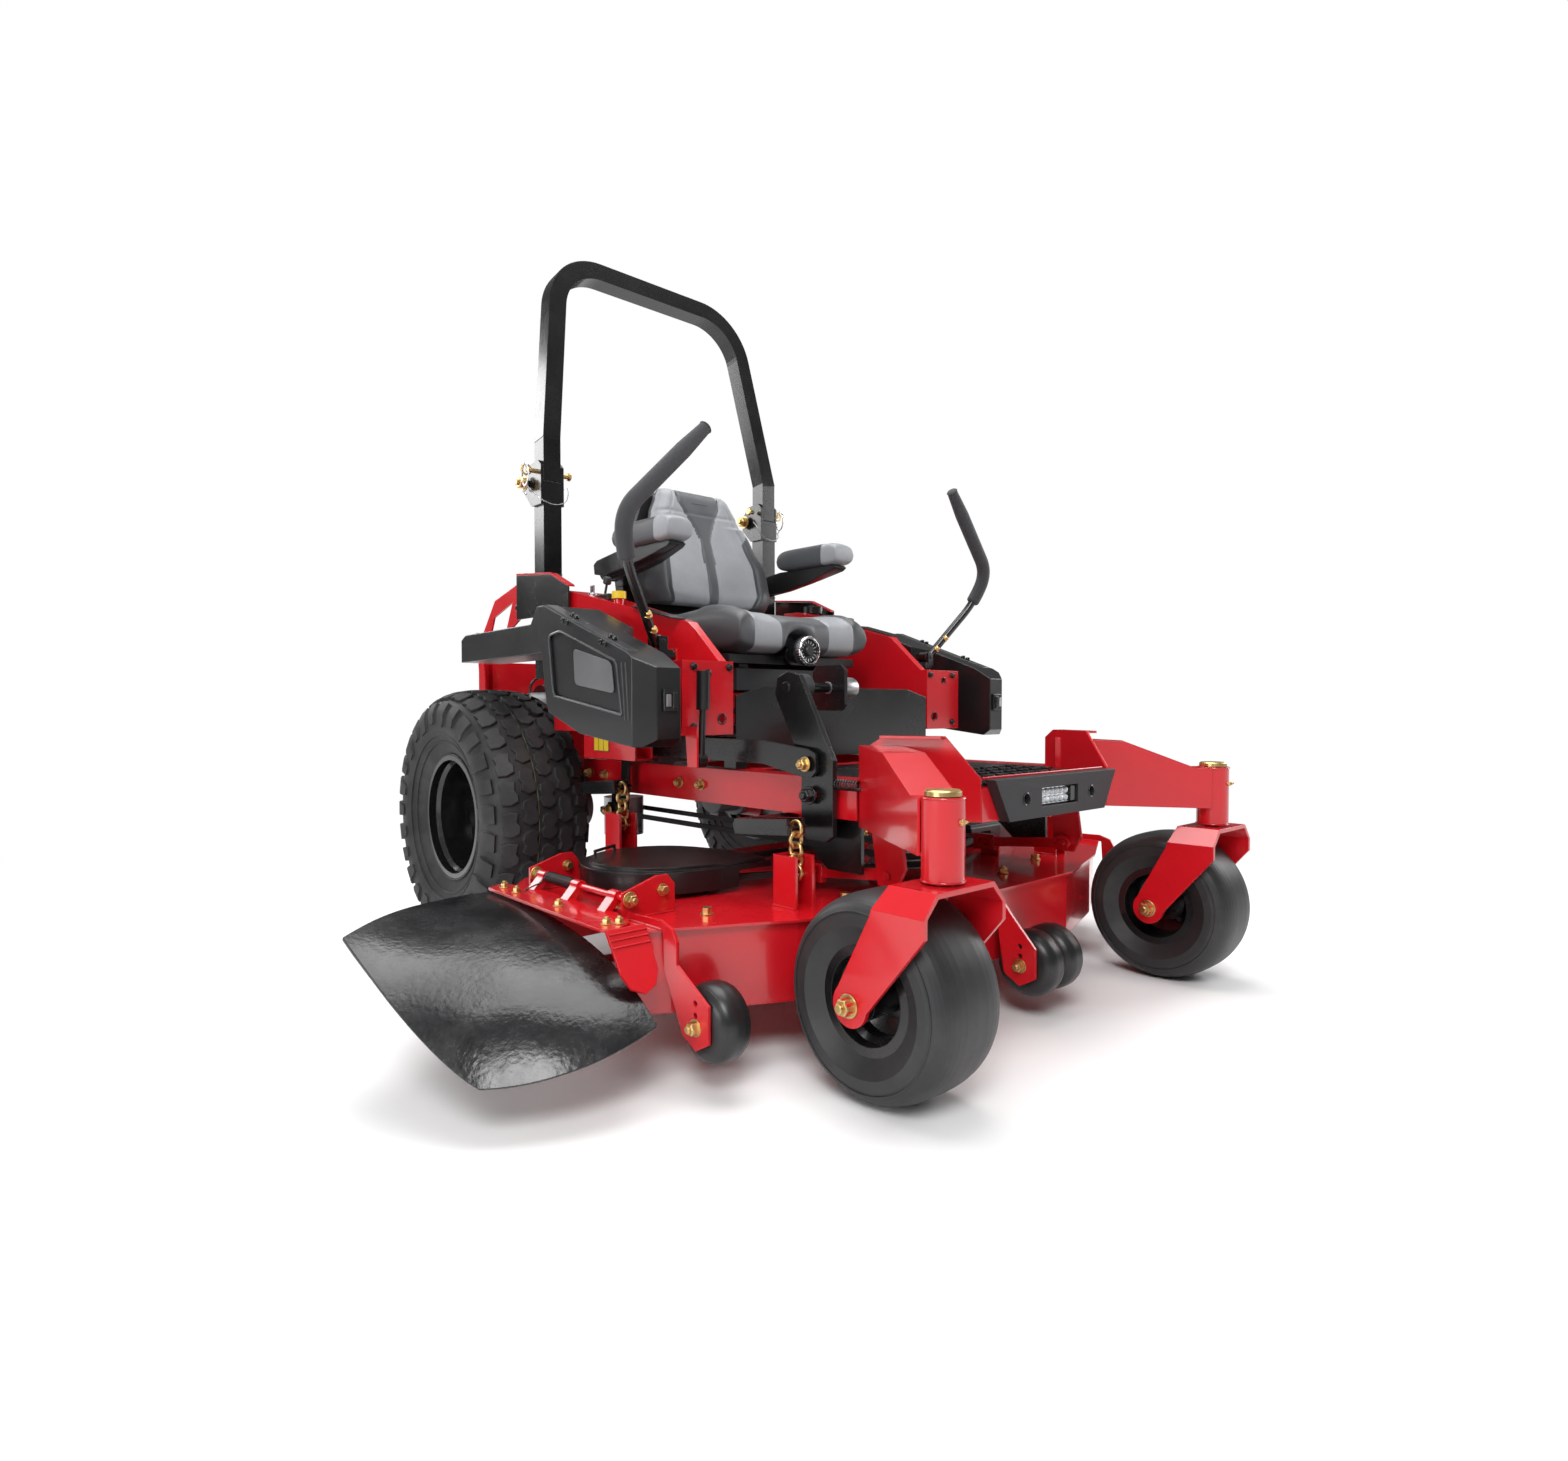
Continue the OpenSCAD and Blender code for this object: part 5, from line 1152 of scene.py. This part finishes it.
def roll_bar_trim(s, side):
    pin_y, pin_z = -86, 1239
    hinge = Shape()
    for x, e in ((427.8, s), (342.2, -s)):
        hinge.bolt((s * x, -42, 1213), (e, 0, 0), 27, nut=True)
    hinge.make(f"roll_bar_{side}_hinge_bolt", "hoop", "zinc", bevel=0.5)
    # Hairpin clip on the outer end of the lock pin
    clip = Shape()
    clip.tube([(s * 452, pin_y + 17 * math.sin(a) - 4, 1226 + 31 * math.cos(a)) for a in turns(36) + [0]], 4.4, n=10)
    clip.tube([(s * 452, -90, 1257), (s * 447, pin_y, 1246), (s * 447, -84, 1238)], 4.0, n=8)
    clip.tube([(s * 452, -90, 1195), (s * 453, -80, 1182), (s * 451, -94, 1172)], 4.0, n=8)
    clip.make(f"roll_bar_{side}_clip", f"pin_{side}", "chrome")
    knob = Shape()
    for x0, x1, d, chamfer in ((342, 322, 13, 1.5), (326, 318, 22, 2)):
        knob.rod((s * x0, pin_y, pin_z), (s * x1, pin_y, pin_z), d, 24, chamfer=chamfer)
    knob.make(f"roll_bar_{side}_pin_end", f"pin_{side}", "zinc")
    route = [(436, -60, 1206), (436, -100, 1180), (420, -118, 1158), (385, -121, 1148), (348, -118, 1160),
             (336, -110, 1190), (332, -96, 1206)]
    wire = Shape().tube(smooth_line([mirrored(s, p) for p in route], 30, 6), 2.6, n=8)
    wire.make(f"roll_bar_{side}_lanyard", "chassis", "steel")
    foot = Shape().tube([(s * 359, -113, 968), (s * 411, -113, 968)], 4, n=8)
    foot.bolts([(s * 419.8, 10, 885), (s * 419.8, -30, 965)], (s, 0, 0), 15)
    foot.make(f"roll_bar_{side}_bolts", "chassis", "black", bevel=0.5)


for s, side in SIDES:
    tank_trim(s, side)
    blank_label(s, side)
    roll_bar_trim(s, side)


def bumper_lamp():
    Shape().block((-64, -1378, 430), (64, -1376.2, 462)).make("lamp_body", "chassis", "chrome", bevel=0.6)
    lens = Shape()
    for i in range(6):
        for z in (438.5, 453.5):
            lens.lathe([(0, 7), (4, 6), (6.6, 3), (7.2, 0)], (-50 + 16.5 * i, -1378, z), (0, -1, 0), n=20, closed=False)
    lens.make("lamp_lenses", "chassis", "lens")
    Shape().block((44, -1385, 431), (63, -1377, 461)).make("lamp_end_block", "chassis", "black", bevel=1.5)
    screws = Shape()
    for x in (-118, 118):
        screws.ring((x, -1389, 446), (0, 1, 0), 11, 1.6, n=32, k=8)
        screws.bolt((x, -1372, 446), (0, -1, 0), 11)
    screws.make("bumper_screws", "chassis", "black")
    edge = Shape().block((-214, -1362, 484), (214, -1357, 490))
    edge.make("platform_edge_strip", "chassis", "red", bevel=1.5)


def pedal_trim():
    y, z = -1000, 655
    bush = Shape().rod((-352, y, z), (-306, y, z), 54, 40, chamfer=4)
    bush.make("pedal_bush", "pedal", "grey", bevel=1)
    sleeve = Shape()
    sleeve.lathe([(21, 0), (22.2, 3), (22.2, 50), (21, 53)], (-227.5, y, z), (1, 0, 0), closed=False)
    sleeve.rod((-174.5, y, z), (-171, y, z), 36, 32, chamfer=1)
    sleeve.make("pedal_roller_sleeve", "pedal", "steel")
    for name, body, look, place, af, nut in (
        ("pedal_bolts", "pedal", "steel", (-245, y, z), 17, False),
        ("link_front_nut", "pedal", "zinc", (-384, -1075, 507), 20, True),
        ("link_rear_nut", "rear_lift", "zinc", (-384, -380, 360), 20, True),
        ("pedal_pivot_nut", "pedal", "black", (-371, -1075, 447), 24, True),
    ):
        Shape().bolt(place, (-1, 0, 0), af, nut=nut).make(name, body, look, bevel=0.4)
    spring = coil((-352, -1108, 470), (-352, -1186, 470), 9, 3, 12)
    spring.make("pedal_return_spring", "chassis", "black")


def chute_trim():
    deck_top = 251
    spring = coil((-722, -706, 284), (-722, -802, 284), 10, 3.2, 15)
    spring.tube([(-732, -706, 284), (-738, -704, 275), (-770, -700, 264)], 3.2, n=8)
    spring.make("chute_spring", "chute", "black")
    bolts = Shape()
    for y in (-654, -988):
        bolts.bolt((-722, y - 3, 284), (0, -1, 0), 19, nut=True)
        bolts.bolt((-652, y - 0.4, 292), (0, -1, 0), 15)
        bolts.bolt((-700, y + 30, 250.2), (0, 0, 1), 13)
    bolts.bolts([(x, y, 250.2) for x, y in ((-600, -640), (-330, -580), (330, -580), (600, -640), (-120, -1180),
                                            (120, -1180))], (0, 0, 1), 17, nut=True)
    bolts.make("deck_gold_bolts", "deck", "zinc", bevel=0.4)
    plate = Shape().bolts([(-778, -1046, 262.2), (-796, -1036, 262.2), (-786, -860, 262.2), (-786, -700, 262.2),
                           (-782, -640, 262.2)], (0, 0, 1), 13, nut=True)
    plate.make("chute_bolts", "chute", "zinc", bevel=0.4)
    # Press marks across the leaning tab
    folds, lean = Shape(), math.radians(33)
    for d in (8, 18, 30):
        y, z = -1077.9 - d * math.sin(lean), 263 - d * math.cos(lean)
        folds.tube([(-821, y, z), (-749, y, z)], 3.0, n=8)
    folds.make("chute_tab_folds", "chute", "red")
    welds = Shape()
    for y in (-654, -646, -989, -981):
        welds.tube([(-732, y, deck_top), (-628, y, deck_top)], 5, n=8)
    for s, _ in SIDES:
        for x, y0, y1 in ((464, -1132, -1074), (416, -1132, -1074), (464, -552, -494), (416, -552, -494),
                          (726, -1090, -935)):
            welds.tube([(s * x, y0, deck_top), (s * x, y1, deck_top)], 5, n=8)
    welds.make("deck_welds", "deck", "red")
    rollers = Shape()
    for x, y in ((-724, -1180), (724, -1180), (-54, -1336)):
        rollers.bolt((x, y, 112), (math.copysign(1, x), 0, 0), 19, nut=True)
    rollers.make("roller_bolts", "deck", "zinc", bevel=0.4)


bumper_lamp()
pedal_trim()
chute_trim()


def console_trim(s, side):
    bolts = Shape().bolts([(s * x, -800.2, z) for x, z in ((440, 700), (345, 700), (440, 574))], (0, -1, 0), 11)
    bolts.bolts([(s * 469.2, y, 600) for y in (-770, -600)], (s, 0, 0), 15)
    bolts.make(f"console_{side}_bolts", "chassis", "black", bevel=0.4)
    welds = Shape()
    for z in (357, 481):
        welds.ring((s * CASTER_X, PIVOT_Y, z), (0, 0, 1), 33.2, 1.6, n=48, k=8)
    welds.make(f"caster_barrel_{side}_rims", "chassis", "red")
    grommets = Shape()
    for x, z, r in ((402, 686, 8), (364, 590, 11)):
        grommets.ring((s * x, -800.5, z), (0, 1, 0), r, 1.5, n=32, k=8)
    grommets.make(f"console_{side}_grommets", "chassis", "black")
    # Frame bolts along the rail and on the wheel motor plate
    rail = Shape().bolts([(s * 343.2, y, 442) for y in (-700, -620, -300, -220)], (s, 0, 0), 17, nut=True)
    rail.bolts([(s * 350.2, y, z) for y, z in ((-70, 410), (70, 410), (-70, 290), (70, 290))], (s, 0, 0), 17, nut=True)
    rail.bolts([(s * 303, y, 466.5) for y in (-1215, -1175)], (0, 0, 1), 15)
    rail.make(f"frame_{side}_bolts", "chassis", "zinc", bevel=0.4)
    spring = coil((s * 300, -560, 512), (s * 300, -420, 512), 15, 4.5, 18)
    spring.make(f"deck_assist_spring_{side}", "chassis", "black")


def panel_controls():
    x = -396
    plate = Shape().block((x - 12, -420, 872), (x + 12, -352, 888))
    plate.make("throttle_plate", "chassis", "plastic", bevel=2)
    arm = Shape().rod((x, -386, 884), (x, -398, 918), 6, 14).rod((x, -396, 912), (x, -402, 930), 20, 24, chamfer=3)
    arm.make("throttle_handle", "chassis", "plastic")
    key = Shape().rod((x, -330, 886), (x, -330, 897), 24, 28, chamfer=2).block((x - 2, -338, 897), (x + 2, -322, 916))
    key.make("key_switch", "chassis", "steel", bevel=0.6)
    Shape().ring((-x, -420, 874), (0, 0, 1), 38, 4, n=48).make("cup_holder_rim", "chassis", "black")


for s, side in SIDES:
    console_trim(s, side)
panel_controls()


def engine_trim():
    # The blower stands on the crankshaft's line
    y, grille = 150, Shape()
    for r in (45, 75, 105, 135):
        grille.ring((0, y, 791), (0, 0, 1), r, 2.2, n=64, k=8)
    for a in turns(12):
        c, q = math.cos(a), math.sin(a)
        grille.tube([(r * c, y + r * q, 791.5) for r in (20, 150)], 3.4, n=8)
    grille.rod((0, y, 790), (0, y, 797), 42, 32, chamfer=3)
    grille.make("engine_grille", "chassis", "black")
    bolts = Shape()
    for a in turns(8):
        c, q = math.cos(a + math.radians(20)), math.sin(a + math.radians(20))
        bolts.bolt((165.2 * c, y + 165.2 * q, 720), (c, q, 0), 11)
    bolts.bolts([(e * x, 270.4, 660) for e in (-1, 1) for x in (60, 90, 120)], (0, 1, 0), 11)
    bolts.make("engine_bolts", "chassis", "zinc", bevel=0.3)
    guard = Shape()
    for x in range(-150, 151, 30):
        guard.ring((x, 372, 620), (1, 0, 0), 66.5, 2.4, n=48, k=8)
    for a in (30, 150, 270):
        c, q = 67 * math.cos(math.radians(a)), 67 * math.sin(math.radians(a))
        guard.tube([(x, 372 + c, 620 + q) for x in (-150, 150)], 5, n=8)
    guard.make("muffler_guard", "chassis", "exhaust")
    bands = Shape()
    for x in (-148, -95, 95, 148):
        bands.ring((x, 95, 850), (1, 0, 0), 57, 1.8, n=56, k=8)
    bands.make("air_filter_bands", "chassis", "steel")
    Shape().rod((-121, 90, 540), (-205, 90, 540), 76, 40, chamfer=5).make("oil_filter", "chassis", "white")
    leads, hoses = Shape(), Shape()
    for e in (-1, 1):
        route = [(262, 262, 640), (262, 262, 690), (190, 210, 735), (150, 180, 750)]
        leads.tube(smooth_line([mirrored(e, p) for p in route], 24, 5), 8, n=10)
        leads.rod((e * 262, 262, 628), (e * 262, 262, 656), 20, 24, chamfer=3)
        for k in (0, 1):
            route = [(148 + 8 * k, -120 + 22 * k, 440), (200, -110 + 30 * k, 440), (236, -60 + 26 * k, 400),
                     (262, -30 + 26 * k, 392)]
            hoses.tube(smooth_line([mirrored(e, p) for p in route], 26, 6), 17, n=14)
    leads.make("spark_plug_leads", "chassis", "plastic")
    hoses.make("drive_hoses", "chassis", "plastic")


engine_trim()
